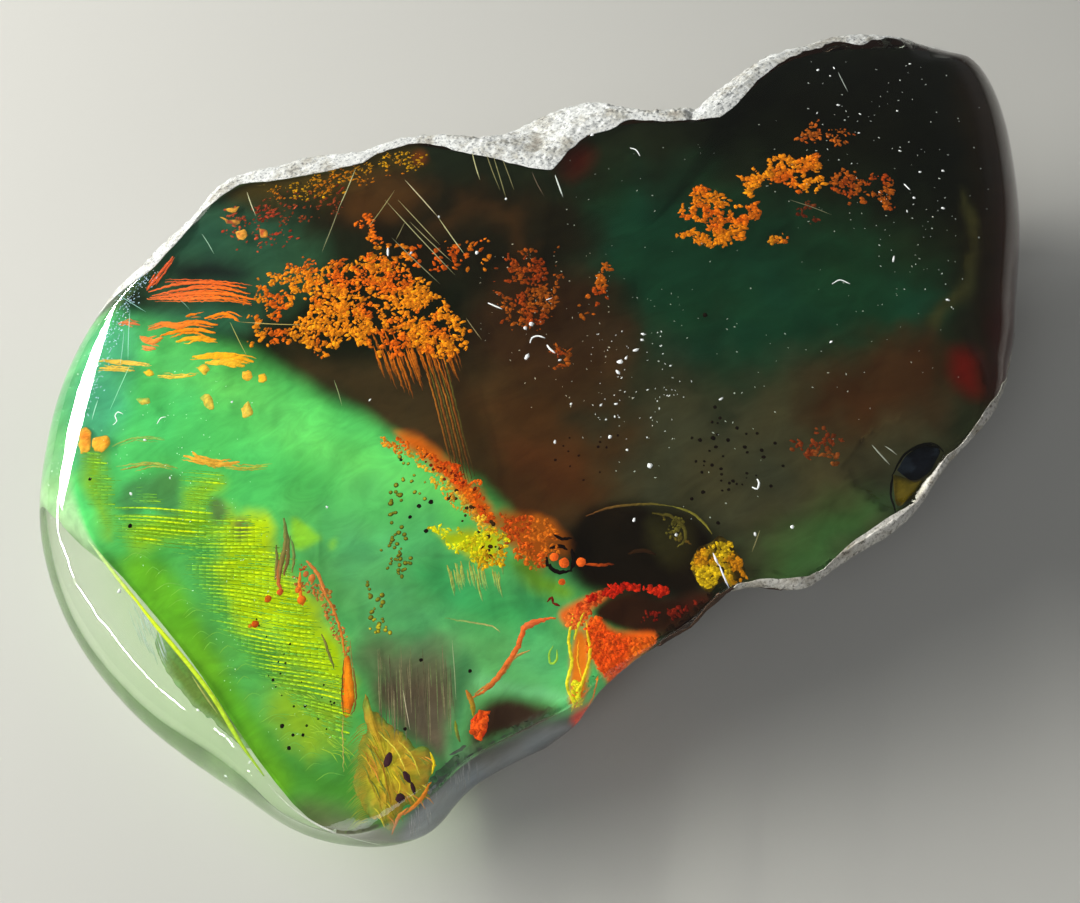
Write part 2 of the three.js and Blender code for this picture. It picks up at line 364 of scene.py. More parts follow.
zones = [
    # Painted shade: the far right lies out of the light, so it is painted near black at its end and dark green
    # further in.
    Zone("black end", (13, 15, 8), 80, 14, [
        (680, 110), (760, 40), (860, 10), (960, 10), (1060, 60), (1060, 330), (975, 300), (930, 215),
        (820, 160), (720, 165)]),
    Zone("dark green heart", (21, 58, 38), 66, 20, [
        (590, 190), (700, 170), (820, 215), (930, 265), (940, 310), (880, 345), (770, 392), (690, 375),
        (625, 335), (585, 260)]),
    Zone("teal corner", (46, 84, 60), 30, 9, [
        (140, 285), (178, 228), (215, 205), (262, 214), (320, 240), (335, 262), (300, 300), (250, 325),
        (180, 312), (140, 300)]),
    Zone("teal under the fan", (48, 104, 76), 16, 5, [
        (112, 302), (150, 306), (200, 310), (244, 312), (250, 330), (205, 334), (150, 328), (112, 322)]),
    Zone("black hollow in the corner", (26, 34, 30), 18, 6, [
        (172, 262), (200, 258), (240, 262), (250, 280), (210, 282), (178, 280)]),
    Zone("brown upper edge", (66, 54, 20), 26, 9, [
        (235, 186), (300, 166), (350, 155), (395, 138), (425, 150), (395, 180), (340, 212), (280, 214),
        (235, 206)]),
    Zone("dark below the edge", (30, 26, 14), 30, 10, [
        (300, 210), (380, 180), (440, 170), (560, 190), (590, 230), (540, 300), (470, 300), (420, 260),
        (350, 240)]),
    Zone("brown swirl", (58, 38, 18), 20, 16, [
        (440, 215), (480, 200), (520, 212), (532, 240), (528, 290), (516, 250), (490, 226), (452, 232)]),
    Zone("brown haze over the net", (70, 44, 18), 22, 8, [
        (330, 200), (385, 168), (430, 178), (420, 205), (372, 232), (340, 230)]),
    Zone("old brown middle", (56, 36, 20), 40, 16, [
        (480, 290), (540, 270), (600, 290), (640, 350), (600, 410), (520, 400), (460, 370)]),
    Zone("brown below the crumbs", (66, 50, 28), 30, 10, [
        (270, 352), (350, 372), (440, 370), (480, 360), (530, 390), (560, 450), (600, 530), (530, 540),
        (470, 480), (410, 444), (330, 400)]),
    Zone("olive smoke", (66, 62, 42), 90, 24, [
        (600, 400), (700, 378), (800, 395), (910, 385), (975, 430), (910, 490), (880, 555), (800, 590),
        (730, 585), (690, 520), (610, 500)]),
    Zone("red brown smoke", (70, 44, 21), 56, 24, [
        (452, 372), (540, 362), (600, 400), (630, 455), (600, 505), (560, 530), (505, 510), (480, 440)]),
    Zone("red brown core", (76, 42, 19), 36, 18, [
        (500, 440), (550, 440), (580, 480), (560, 510), (515, 505), (496, 470)]),
    Zone("red brown cheek", (62, 38, 20), 44, 18, [
        (790, 382), (850, 352), (930, 318), (950, 350), (935, 420), (870, 428), (820, 412)]),
    Zone("green lip", (58, 92, 48), 50, 12, [
        (775, 540), (840, 496), (892, 500), (880, 540), (835, 580), (790, 592), (745, 592)]),
    Zone("shoulder brown", (34, 24, 12), 40, 10, [
        (950, 40), (1010, 70), (1040, 130), (1040, 360), (975, 410), (960, 330), (978, 240), (968, 130)]),
    Zone("red shoulder", (44, 12, 5), 20, 5, [
        (1000, 90), (1060, 90), (1060, 390), (990, 425), (990, 340), (1006, 240)]),
    Zone("olive veil", (58, 56, 28), 9, 6, [
        (966, 195), (976, 195), (978, 290), (962, 300), (944, 308), (932, 328), (924, 324), (938, 300),
        (956, 288), (968, 270)]),
]

# The green zones below are painted light: the resin glows green where sunlight fell in at the thin end. The
# shade zones among them are painted shade, and the grey wall zones are a painted reflection.
glow_and_painted_light_zones = [
    Zone("green glow", (88, 198, 104), 22, 3, [
        (20, 290), (104, 306), (150, 324), (214, 338), (250, 354), (290, 378), (350, 414), (425, 456),
        (480, 488), (520, 530), (560, 578), (590, 600), (640, 620), (640, 720), (520, 800), (440, 870),
        (320, 870), (200, 760), (90, 610), (20, 480)]),
    Zone("bright edge of the glow", (106, 212, 110), 36, 7, [
        (170, 345), (250, 376), (300, 400), (360, 436), (430, 470), (490, 510), (500, 530), (450, 520),
        (390, 490), (300, 450), (210, 410), (140, 375)]),
    Zone("blue green rise", (84, 176, 124), 26, 5, [
        (96, 318), (140, 326), (134, 380), (112, 430), (96, 470), (66, 470), (66, 390)]),
    Zone("grey green middle", (92, 170, 104), 80, 18, [
        (330, 480), (450, 555), (560, 600), (600, 660), (560, 720), (440, 740), (340, 640), (280, 540)]),
    Zone("green shade under the band", (70, 172, 100), 24, 8, [
        (430, 550), (520, 590), (560, 610), (540, 640), (470, 620), (420, 580)]),
    Zone("pale band", (112, 190, 132), 14, 3, [
        (470, 672), (500, 682), (570, 696), (580, 706), (530, 698), (470, 690)]),
    Zone("brown shade", (54, 38, 28), 14, 4, [
        (468, 722), (484, 704), (502, 693), (530, 696), (564, 708), (540, 718), (496, 736), (466, 752)]),
    Zone("deep green foot", (74, 146, 52), 34, 8, [
        (84, 545), (140, 540), (210, 545), (260, 640), (330, 730), (400, 800), (420, 870), (300, 860),
        (200, 740), (110, 620)]),
    Zone("soft green band", (86, 168, 80), 24, 6, [
        (170, 548), (212, 548), (244, 610), (280, 680), (330, 738), (344, 780), (300, 765), (240, 700),
        (190, 620)]),
    Zone("lime green brow", (100, 168, 36), 18, 3, [
        (122, 562), (150, 556), (176, 590), (212, 640), (238, 690), (262, 730), (292, 790), (270, 800),
        (190, 700), (130, 610)]),
    Zone("dark foot", (86, 110, 66), 24, 4, [
        (290, 800), (340, 800), (390, 825), (420, 850), (360, 870), (300, 850)]),
    Zone("brown veil", (106, 106, 80), 40, 10, [
        (368, 648), (410, 650), (453, 642), (456, 700), (453, 744), (440, 760), (426, 750), (400, 726),
        (380, 706), (370, 680)]),
    Zone("foot of the veil", (106, 92, 76), 18, 5, [
        (374, 676), (410, 680), (454, 676), (452, 744), (440, 762), (426, 752), (400, 728), (382, 708)]),
    Zone("teal behind the veil", (70, 132, 84), 14, 4, [
        (456, 650), (476, 655), (464, 700), (458, 752), (450, 752), (452, 700)]),
    # Painted reflection: the front edge mirrors the room here as a soft grey.
    Zone("smoky foot", (112, 112, 92), 16, 3, [
        (300, 826), (350, 822), (396, 832), (420, 850), (360, 866), (310, 858)]),
    # Painted reflection: the front wall mirrors the grey room, so it is painted grey and brightest in the
    # middle. Its outer zone is a painted contact shadow at the foot of the wall.
    Zone("grey wall, inner", (74, 74, 70), 14, 2, [
        (400, 822), (430, 775), (462, 750), (498, 741), (536, 722), (566, 716), (600, 700), (640, 700),
        (480, 830), (440, 870), (395, 860)]),
    Zone("grey wall, bright", (134, 138, 140), 14, 2, [
        (404, 832), (436, 788), (470, 770), (520, 746), (562, 724), (575, 728), (530, 754), (480, 780),
        (448, 812), (420, 842), (402, 846)]),
    Zone("grey wall, outer", (40, 42, 46), 6, 1, [
        (425, 850), (458, 804), (470, 792), (520, 764), (570, 734), (596, 706), (630, 700), (590, 760),
        (480, 840), (440, 870)]),
]

hot_zones = [
    Zone("lime flow, left", (132, 176, 40), 16, 8, [
        (80, 452), (104, 456), (114, 476), (110, 506), (120, 540), (108, 530), (92, 500)]),
    Zone("lime flow, stripes", (138, 186, 34), 14, 6, [
        (118, 516), (150, 520), (208, 504), (216, 530), (210, 544), (150, 550), (122, 546)]),
    Zone("lime flow, bridge", (140, 190, 44), 12, 5, [
        (184, 482), (212, 480), (222, 488), (210, 500), (208, 510), (186, 506)]),
    Zone("lime flow, wedge", (196, 224, 12), 15, 8, [
        (212, 538), (220, 528), (232, 512), (240, 526), (252, 520), (262, 522), (270, 520), (280, 526),
        (280, 560), (288, 575), (300, 596), (318, 602), (322, 630), (338, 662), (344, 690), (340, 705),
        (316, 690), (290, 664), (260, 636), (238, 604), (222, 570)]),
    Zone("lime flow, fading foot", (150, 190, 44), 26, 14, [
        (270, 668), (310, 690), (342, 705), (336, 740), (320, 760), (296, 740), (276, 700)]),
    Zone("lime flow, patches", (140, 206, 60), 6, 3, [
        (290, 518), (298, 520), (312, 532), (320, 538), (314, 544), (306, 548), (298, 552), (291, 548)]),
    Zone("lime flow, small patch", (134, 204, 84), 5, 2, [
        (328, 540), (336, 536), (336, 546), (330, 550)]),
    Zone("grey blot, left", (76, 138, 78), 10, 6, [
        (114, 480), (126, 472), (150, 474), (172, 472), (185, 482), (186, 506), (176, 520), (162, 516),
        (150, 508), (134, 512), (124, 518), (112, 500)]),
    Zone("grey blot, middle", (106, 140, 78), 7, 4, [
        (210, 500), (222, 496), (230, 512), (222, 528), (212, 520)]),
    Zone("grey blot, right", (124, 134, 66), 7, 3, [
        (232, 524), (241, 518), (251, 526), (250, 540), (241, 547), (233, 540)]),
    Zone("dark pocket", (24, 17, 9), 13, 4, [
        (578, 520), (593, 512), (621, 507), (649, 506), (671, 508), (688, 515), (705, 529), (716, 545),
        (708, 588), (691, 602), (649, 592), (612, 592), (590, 588), (575, 575), (566, 556), (568, 535)]),
    Zone("pocket, olive end", (46, 40, 18), 14, 5, [
        (646, 512), (676, 514), (694, 526), (696, 556), (680, 570), (656, 556)]),
    Zone("pocket floor", (66, 22, 12), 14, 4, [
        (612, 594), (660, 600), (708, 594), (704, 606), (680, 622), (655, 634), (620, 626)]),
    Zone("ember band", (226, 104, 20), 9, 6, [
        (394, 436), (424, 446), (452, 463), (480, 482), (491, 505), (500, 524), (486, 524), (466, 502),
        (446, 482), (424, 463), (400, 450)]),
    Zone("ember corner", (186, 92, 20), 12, 7, [
        (494, 512), (514, 516), (542, 520), (566, 534), (560, 552), (542, 566), (530, 574), (516, 556),
        (500, 534)]),
    Zone("yellow specks", (196, 206, 20), 9, 7, [
        (428, 525), (446, 530), (470, 531), (497, 527), (508, 541), (498, 562), (480, 566), (464, 552),
        (450, 546), (438, 535)]),
    Zone("olive fold", (112, 168, 50), 12, 5, [
        (508, 556), (530, 566), (552, 578), (580, 596), (560, 602), (534, 590), (512, 574)]),
    Zone("dark lens over the ember", (44, 24, 12), 8, 2, [
        (588, 616), (604, 598), (635, 594), (668, 600), (690, 604), (684, 616), (663, 632), (635, 634),
        (610, 628)]),
    Zone("ember lobe", (244, 112, 40), 5, 2, [
        (555, 617), (562, 609), (578, 600), (606, 590), (610, 595), (594, 606), (586, 618), (579, 629),
        (564, 628)]),
    Zone("ember", (250, 104, 22), 5, 2, [
        (584, 617), (600, 617), (609, 627), (632, 633), (656, 634), (657, 643), (643, 655), (626, 669),
        (610, 689), (603, 676), (590, 659), (586, 640)]),
    Zone("orange between the veins", (232, 120, 26), 6, 3, [
        (572, 630), (584, 630), (590, 656), (590, 680), (584, 706), (570, 712), (568, 690), (570, 660)]),
    Zone("pink foot of the ember", (226, 74, 60), 6, 2, [
        (568, 720), (582, 708), (600, 696), (606, 700), (596, 714), (579, 727)]),
    Zone("red cheek", (84, 17, 10), 18, 3, [
        (950, 350), (966, 344), (984, 352), (984, 392), (970, 396), (954, 376)]),
    Zone("red blot", (70, 24, 14), 20, 4, [
        (562, 152), (584, 142), (590, 160), (578, 174), (564, 170)]),
    Zone("amber blot", (120, 56, 14), 8, 4, [
        (414, 156), (426, 152), (430, 164), (420, 168)]),
]


def linear(colour):
    """A colour given from 0 to 255, as the linear light that Blender mixes."""
    share = np.array(colour, float) / 255
    return np.where(share <= 0.04045, share / 12.92, ((share + 0.055) / 1.055) ** 2.4)


def smoke(spots, size, seed, layers=3):
    """Smooth drifting noise from -1 to 1 at flat spots, in layers of finer and finer grain."""
    total = np.zeros(len(spots))
    for layer in range(layers):
        scaled = spots / size * 2 ** layer
        cell = np.floor(scaled).astype(np.int64)
        part = scaled - cell
        part = part * part * (3 - 2 * part)
        corner = {}
        for dx in (0, 1):
            for dy in (0, 1):
                mixed = (cell[:, 0] + dx) * 374761393 + (cell[:, 1] + dy) * 668265263
                mixed = mixed + (seed + layer) * 982451653
                mixed = ((mixed & 0x7FFFFFFF) ^ (mixed >> 13 & 0x3FFFF)) * 1274126177 & 0x7FFFFFFF
                corner[dx, dy] = (mixed >> 8 & 0xFFFF) / 32767.5 - 1
        near = corner[0, 0] + (corner[1, 0] - corner[0, 0]) * part[:, 0]
        far = corner[0, 1] + (corner[1, 1] - corner[0, 1]) * part[:, 0]
        total += (near + (far - near) * part[:, 1]) * 0.5 ** layer
    return total / 1.75


def glaze(paint, spots, zone, seed):
    """Lays one zone over the paint. Its border is pulled about by slow swirls and frayed by fine ones."""
    margin = zone.soft + zone.wander * 4
    corners = np.array(zone.outline, float)
    near = ((spots > corners.min(axis=0) - margin) & (spots < corners.max(axis=0) + margin)).all(axis=1)
    here = spots[near]
    swirl = np.stack([smoke(here, 60, seed), smoke(here, 60, seed + 31)], axis=1)
    curl = np.stack([smoke(here, 22, seed + 61), smoke(here, 22, seed + 91)], axis=1)
    moved = here + (swirl * 1.9 + curl * 0.9) * zone.wander
    share = smooth_step(edge_distance(moved, rounded(zone.outline)) / (zone.soft * 1.5) + 0.5)
    paint[near] += share[:, None] * (linear(zone.colour) - paint[near])
    return paint


# %% [markdown]
# The cloud itself. In this amber the light that falls in is turned into a green glow close under the
# polish, and below that the resin is too dark to see through. That is one cloudy body with a colour
# that changes from place to place. It is made as a closed mesh under the window: its top follows the
# window at a depth that grows from under one to about three millimetres. Its sides go down near the wall
# of the resin, and draw in at the thin end, so that the flank there stays clear and the floor shows.

# %% Cloud mesh
BROW_DEPTH = 0.7 * MM
MIDDLE_DEPTH = 2.6 * MM
DEEPENING_PIXELS = 130
CLOUD_SIDE_RINGS = 12
CLOUD_FLOOR = 1.6 * MM
CLEARANCE = 0.45 * MM
FAR_OUT = 90 * MM

cloud_spots = [tuple(PICTURE_MIDDLE)]
cloud_points = [inside(*PICTURE_MIDDLE, MIDDLE_DEPTH)[0]]


def sink_inside(point, clearance):
    """The point, moved in where it would lie closer than the clearance to the outside of the resin."""
    nearest, facing, _, _ = surface.find_nearest(point)
    depth = (nearest - point).dot(facing)
    if depth < clearance:
        return nearest - facing * clearance
    return point


def last_hit(angle, reach):
    """Trims a reach so that the line of sight still meets the resin."""
    heading = np.array((math.cos(angle), math.sin(angle)))
    while True:
        spot = PICTURE_MIDDLE + heading * reach
        place, facing = on_surface(*spot)
        if place is not None and -sight_line(*spot).dot(facing) > 0.1:
            return reach
        reach -= 2


trimmed_reach = np.array([last_hit(a, r - 2) for a, r in zip(angles, window_reach)])
for ring in range(1, RINGS_ACROSS + 1):
    share = ring / RINGS_ACROSS
    for angle, reach in zip(angles, trimmed_reach):
        spot = PICTURE_MIDDLE + np.array((math.cos(angle), math.sin(angle))) * reach * share
        inset = reach * (1 - share)
        depth = BROW_DEPTH + (MIDDLE_DEPTH - BROW_DEPTH) * min(1, inset / DEEPENING_PIXELS) ** 0.8
        point, _ = inside(*spot, depth)
        cloud_spots.append(tuple(spot))
        cloud_points.append(point)

cloud_top_count = len(cloud_points)
rim_points = cloud_points[-LINES_AROUND:]
rim_spots = cloud_spots[-LINES_AROUND:]
under_middle = Vector((cloud_points[0].x, cloud_points[0].y, CLOUD_FLOOR))


def flank_share(spot):
    """1 where the clear flank of the thin end is in front of the cloud, and 0 elsewhere."""
    leftward = smooth_step(np.array((500 - spot[0]) / 200))
    downward = smooth_step(np.array((spot[1] - 440) / 220))
    return float(leftward * downward)


for ring in range(1, CLOUD_SIDE_RINGS + 1):
    share = ring / CLOUD_SIDE_RINGS
    for rim_point, spot in zip(rim_points, rim_spots):
        height = rim_point.z + (CLOUD_FLOOR - rim_point.z) * share
        axis = Vector((under_middle.x, under_middle.y, height))
        outward = Vector((rim_point.x - axis.x, rim_point.y - axis.y, 0))
        rim_reach = outward.length
        outward.normalize()
        _, _, _, gap = surface.ray_cast(axis + outward * FAR_OUT, -outward)
        wall_reach = FAR_OUT - gap
        clear = flank_share(spot)
        filled = min(wall_reach - CLEARANCE, rim_reach + 12 * MM * share)
        drawn_in = min(filled, rim_reach * (1 - 0.42 * share ** 1.2))
        reach = filled + (drawn_in - filled) * clear
        cloud_points.append(sink_inside(axis + outward * reach, CLEARANCE))
        cloud_spots.append(spot)
cloud_points.append(under_middle)
cloud_spots.append(tuple(PICTURE_MIDDLE))


def disc_faces(around, rings):
    """Faces of rings of points round a first point, closed by a last point underneath."""
    faces = [(0, 1 + (i + 1) % around, 1 + i) for i in range(around)]
    for ring in range(rings - 1):
        here = 1 + ring * around
        below = here + around
        for i in range(around):
            n = (i + 1) % around
            faces.append((here + i, here + n, below + n, below + i))
    last = 1 + (rings - 1) * around
    faces += [(last + i, last + (i + 1) % around, last + around) for i in range(around)]
    return faces


cloud_mesh = bpy.data.meshes.new("glow_cloud")
cloud_mesh.from_pydata(
    [tuple(p) for p in cloud_points], [], disc_faces(LINES_AROUND, RINGS_ACROSS + CLOUD_SIDE_RINGS)
)
cloud_mesh.validate()
cloud_mesh.shade_smooth()
cloud = new_object("glow_cloud", cloud_mesh)
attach(cloud, "root")
print("cloud points:", len(cloud_points))

# %% [markdown]
# Painting the cloud. Every point of the cloud knows the pixel at which it shows, so the zones can be
# laid on it by their outlines. Drifting noise then mottles the paint, because real resin is never
# even. The sides have no zones: they fade to a deep brown, and to a pale green behind the clear flank.

# %% Paint the cloud
BASE_COLOUR = (27, 34, 20)
DEEP_SIDE_COLOUR = (58, 24, 9)
FLANK_COLOUR = (128, 176, 104)
FOOT_COLOUR = (190, 205, 172)
MOTTLE = 0.22

spots = np.array(cloud_spots)
paint = np.tile(linear(BASE_COLOUR), (len(spots), 1))
for number, zone in enumerate(zones + glow_and_painted_light_zones + hot_zones):
    paint = glaze(paint, spots, zone, number * 7)
pulled = spots + np.stack([smoke(spots, 90, 901), smoke(spots, 90, 902)], axis=1) * 26
wisps = smoke(pulled * np.array((0.32, 1.0)), 15, 903, layers=4)
clouds = smoke(pulled, 44, 904, layers=4)
shade = 1 + MOTTLE * (0.5 * wisps + clouds)
warmth = 1 + 0.16 * smoke(pulled, 60, 905)
paint *= np.stack([shade * warmth, shade, shade / warmth], axis=1)
side_rows = np.repeat(np.arange(1, CLOUD_SIDE_RINGS + 1) / CLOUD_SIDE_RINGS, LINES_AROUND)
side_fade = np.append(side_rows, 1)[:, None]
side_rows_apart = np.append(side_rows, 1)[:, None] * np.array((140.0, 90.0))
side_spots = spots[cloud_top_count:]
leftward = smooth_step((430 - side_spots[:, 0]) / 220)[:, None]
downward = smooth_step((side_spots[:, 1] - 400) / 130)[:, None]
flank_colour = linear(FLANK_COLOUR) + downward * (linear(FOOT_COLOUR) - linear(FLANK_COLOUR))
side_colour = linear(DEEP_SIDE_COLOUR) + leftward * (flank_colour - linear(DEEP_SIDE_COLOUR))
side_colour *= (1 + 0.4 * smoke(side_spots + side_rows_apart, 30, 906, layers=4))[:, None]
side_mix = side_fade ** (0.5 - 0.3 * leftward * downward)
paint[cloud_top_count:] += side_mix * (side_colour - paint[cloud_top_count:])


def paint_points(mesh, name, colours):
    layer = mesh.attributes.new(name, "FLOAT_COLOR", "POINT")
    opaque = np.column_stack([colours, np.ones(len(colours))])
    layer.data.foreach_set("color", opaque.ravel())


paint_points(cloud_mesh, "paint", paint)

# %% [markdown]
# The finishes. Resin is plain clear glass with the refraction of amber, and its yellow tint is
# absorption, so it is deeper where the light goes further. Lamps reach the inside straight through
# the polish: for shadow rays the surface is simply open, which keeps the inside bright and clean.

# %% Resin finish
RESIN_ROUGHNESS = 0.015
ABSORPTION_COLOUR = (0.56, 0.74, 0.44, 1)
ABSORPTION_DENSITY = 75


def set_inputs(node, values):
    for name, value in values.items():
        node.inputs[name].default_value = value
    return node


def new_finish(name, values):
    finish = bpy.data.materials.new(name)
    finish.use_nodes = True
    nodes = finish.node_tree.nodes
    return finish, nodes, finish.node_tree.links, set_inputs(nodes["Principled BSDF"], values)


def ramp(nodes, stops):
    node = nodes.new("ShaderNodeValToRGB")
    while len(node.color_ramp.elements) < len(stops):
        node.color_ramp.elements.new(0.5)
    for element, (place, colour) in zip(node.color_ramp.elements, stops):
        element.position = place
        element.color = (*colour, 1)
    return node


def object_noise(nodes, links, scale, detail, roughness=0.6):
    place = nodes.new("ShaderNodeTexCoord")
    values = {"Scale": scale, "Detail": detail, "Roughness": roughness}
    node = set_inputs(nodes.new("ShaderNodeTexNoise"), values)
    links.new(place.outputs["Object"], node.inputs["Vector"])
    return node


def bump_from(nodes, links, source, shader, strength, distance):
    bump = set_inputs(nodes.new("ShaderNodeBump"), {"Strength": strength, "Distance": distance})
    links.new(source, bump.inputs["Height"])
    links.new(bump.outputs["Normal"], shader.inputs["Normal"])


def resin_finish():
    finish, nodes, links, shader = new_finish("clear_amber", {
        "Base Color": (1, 1, 1, 1), "Transmission Weight": 1, "Roughness": RESIN_ROUGHNESS, "IOR": RESIN_IOR})
    output = nodes["Material Output"]
    path = nodes.new("ShaderNodeLightPath")
    open_surface = nodes.new("ShaderNodeBsdfTransparent")
    mix = nodes.new("ShaderNodeMixShader")
    links.new(path.outputs["Is Shadow Ray"], mix.inputs["Fac"])
    links.new(shader.outputs["BSDF"], mix.inputs[1])
    links.new(open_surface.outputs["BSDF"], mix.inputs[2])
    links.new(mix.outputs["Shader"], output.inputs["Surface"])
    tint = set_inputs(nodes.new("ShaderNodeVolumeAbsorption"), {
        "Color": ABSORPTION_COLOUR, "Density": ABSORPTION_DENSITY})
    links.new(tint.outputs["Volume"], output.inputs["Volume"])
    return finish


body.data.materials.append(resin_finish())

# %% [markdown]
# The glow. A cloud in resin scatters light and seems lit from within. Volume scattering would be slow
# and noisy, so the painted colour is used twice: as the surface colour, dimmed, and as a weak light of
# its own. Fine noise along the flow keeps both alive up close.

# %% Cloud finish
GLOW_SHARE = 0.42
PAINT_SHARE = 0.5
FLOW_STRETCH = (0.45, 1.0, 1.0)
FLOW_TURN = math.radians(30)


def glow_finish(name, fineness, grain_depth):
    """The painted colour, varied by fine noise, as a dimmed surface colour and as a weak light."""
    finish, nodes, links, shader = new_finish(name, {
        "Emission Strength": GLOW_SHARE, "Roughness": 0.6, "Specular IOR Level": 0.0})
    colour = nodes.new("ShaderNodeAttribute")
    colour.attribute_name = "paint"
    place = nodes.new("ShaderNodeTexCoord")
    along_flow = set_inputs(nodes.new("ShaderNodeMapping"), {
        "Rotation": (0, 0, FLOW_TURN), "Scale": FLOW_STRETCH})
    grain = set_inputs(nodes.new("ShaderNodeTexNoise"), {
        "Scale": fineness, "Detail": 9, "Roughness": 0.62, "Distortion": 0.8})
    strength = set_inputs(nodes.new("ShaderNodeMapRange"), {
        "From Min": 0.3, "From Max": 0.7, "To Min": 1 - grain_depth, "To Max": 1 + grain_depth})
    grained, dimmed = (nodes.new("ShaderNodeVectorMath") for _ in range(2))
    grained.operation = dimmed.operation = "SCALE"
    set_inputs(dimmed, {"Scale": PAINT_SHARE})
    links.new(place.outputs["Object"], along_flow.inputs["Vector"])
    links.new(along_flow.outputs["Vector"], grain.inputs["Vector"])
    links.new(grain.outputs["Fac"], strength.inputs["Value"])
    links.new(colour.outputs["Color"], grained.inputs[0])
    links.new(strength.outputs["Result"], grained.inputs["Scale"])
    links.new(grained.outputs["Vector"], dimmed.inputs[0])
    links.new(dimmed.outputs["Vector"], shader.inputs["Base Color"])
    links.new(grained.outputs["Vector"], shader.inputs["Emission Color"])
    return finish


cloud_mesh.materials.append(glow_finish("green_glow", 520, 0.2))

# %% [markdown]
# Small things in the resin are gathered in heaps. A heap is one joined mesh in which each grain, strand
# or drop keeps its own colour, so thousands of them cost no more than one piece and all of them survive
# an export. Each shape is closed, and sits at its own depth under the polish.

# %% Heaps of small shapes
PIXEL = VIEW_DISTANCE / PIXELS_PER_UNIT
dice = np.random.default_rng(4926)


def ball_form(subdivisions):
    """A round closed form. With one subdivision it is the smallest that still looks like a grain."""
    shape = bmesh.new()
    bmesh.ops.create_icosphere(shape, subdivisions=subdivisions, radius=1)
    points = np.array([v.co for v in shape.verts])
    faces = [tuple(v.index for v in f.verts) for f in shape.faces]
    shape.free()
    return points, faces


GRAIN = ball_form(1)
DROP = ball_form(2)


class Heap:
    """Closed small shapes with a colour for each point, gathered into one mesh."""

    def __init__(self):
        self.points = []
        self.faces = []
        self.tints = []

    def add(self, points, faces, tints):
        start = len(self.points)
        self.points += [tuple(p) for p in points]
        self.faces += [tuple(start + i for i in face) for face in faces]
        self.tints += [tuple(t) for t in tints]

    def make(self, name, finish):
        mesh = bpy.data.meshes.new(name)
        mesh.from_pydata(self.points, [], self.faces)
        mesh.validate()
        mesh.shade_smooth()
        paint_points(mesh, "paint", np.array(self.tints))
        mesh.materials.append(finish)
        piece = new_object(name, mesh)
        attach(piece, "root")
        triangles = sum(len(face) - 2 for face in self.faces)
        print(name, "triangles:", triangles)
        return piece


def tangents(facing):
    """Two directions along the surface: across the picture and up it."""
    across = (camera_right - facing * camera_right.dot(facing)).normalized()
    return across, facing.cross(across)


def lay_form(heap, form, spot, depth, size, tint, squash=0.6, stretch=1.0, turn=None, rough=0.3, centre=None):
    """A grain or drop at a pixel. size is its half width in pixels; the centre tint, a painted highlight,
    colours what faces the polish.
    """
    point, facing = inside(spot[0], spot[1], depth)
    if point is None:
        return
    turn = dice.uniform(0, math.pi) if turn is None else turn
    across, upward = tangents(facing)
    first = across * math.cos(turn) + upward * math.sin(turn)
    second = facing.cross(first)
    points, faces = form
    swell = 1 + rough * dice.uniform(-1, 1, len(points))
    local = points * swell[:, None] * (size * PIXEL * np.array((stretch, 1 / stretch, squash)))
    axes = np.array((first, second, facing))
    base = linear(tint) * dice.uniform(0.8, 1.15)
    tints = np.tile(np.clip(base, 0, 1), (len(points), 1))
    if centre is not None:
        tints[points[:, 2] > 0.75] = linear(centre)
    heap.add(np.array(point) + local @ axes, faces, tints)


def flowing(line, step):
    """A smooth line through given points, with a point every few pixels."""
    knots = np.array(line, float)
    if len(knots) < 3:
        middle = (knots[:1] + knots[-1:]) / 2
        knots = np.vstack([knots[:1], middle, knots[-1:]])
    padded = np.vstack([2 * knots[0] - knots[1], knots, 2 * knots[-1] - knots[-2]])
    run = []
    for a, b, c, d in zip(padded, padded[1:], padded[2:], padded[3:]):
        count = max(1, int(np.hypot(*(c - b)) / step))
        for t in np.arange(count) / count:
            run.append(0.5 * (2 * b + (c - a) * t + (2 * a - 5 * b + 4 * c - d) * t * t
                              + (3 * b - a - 3 * c + d) * t ** 3))
    run.append(knots[-1])
    return np.array(run)


STRAND_SIDES = 5


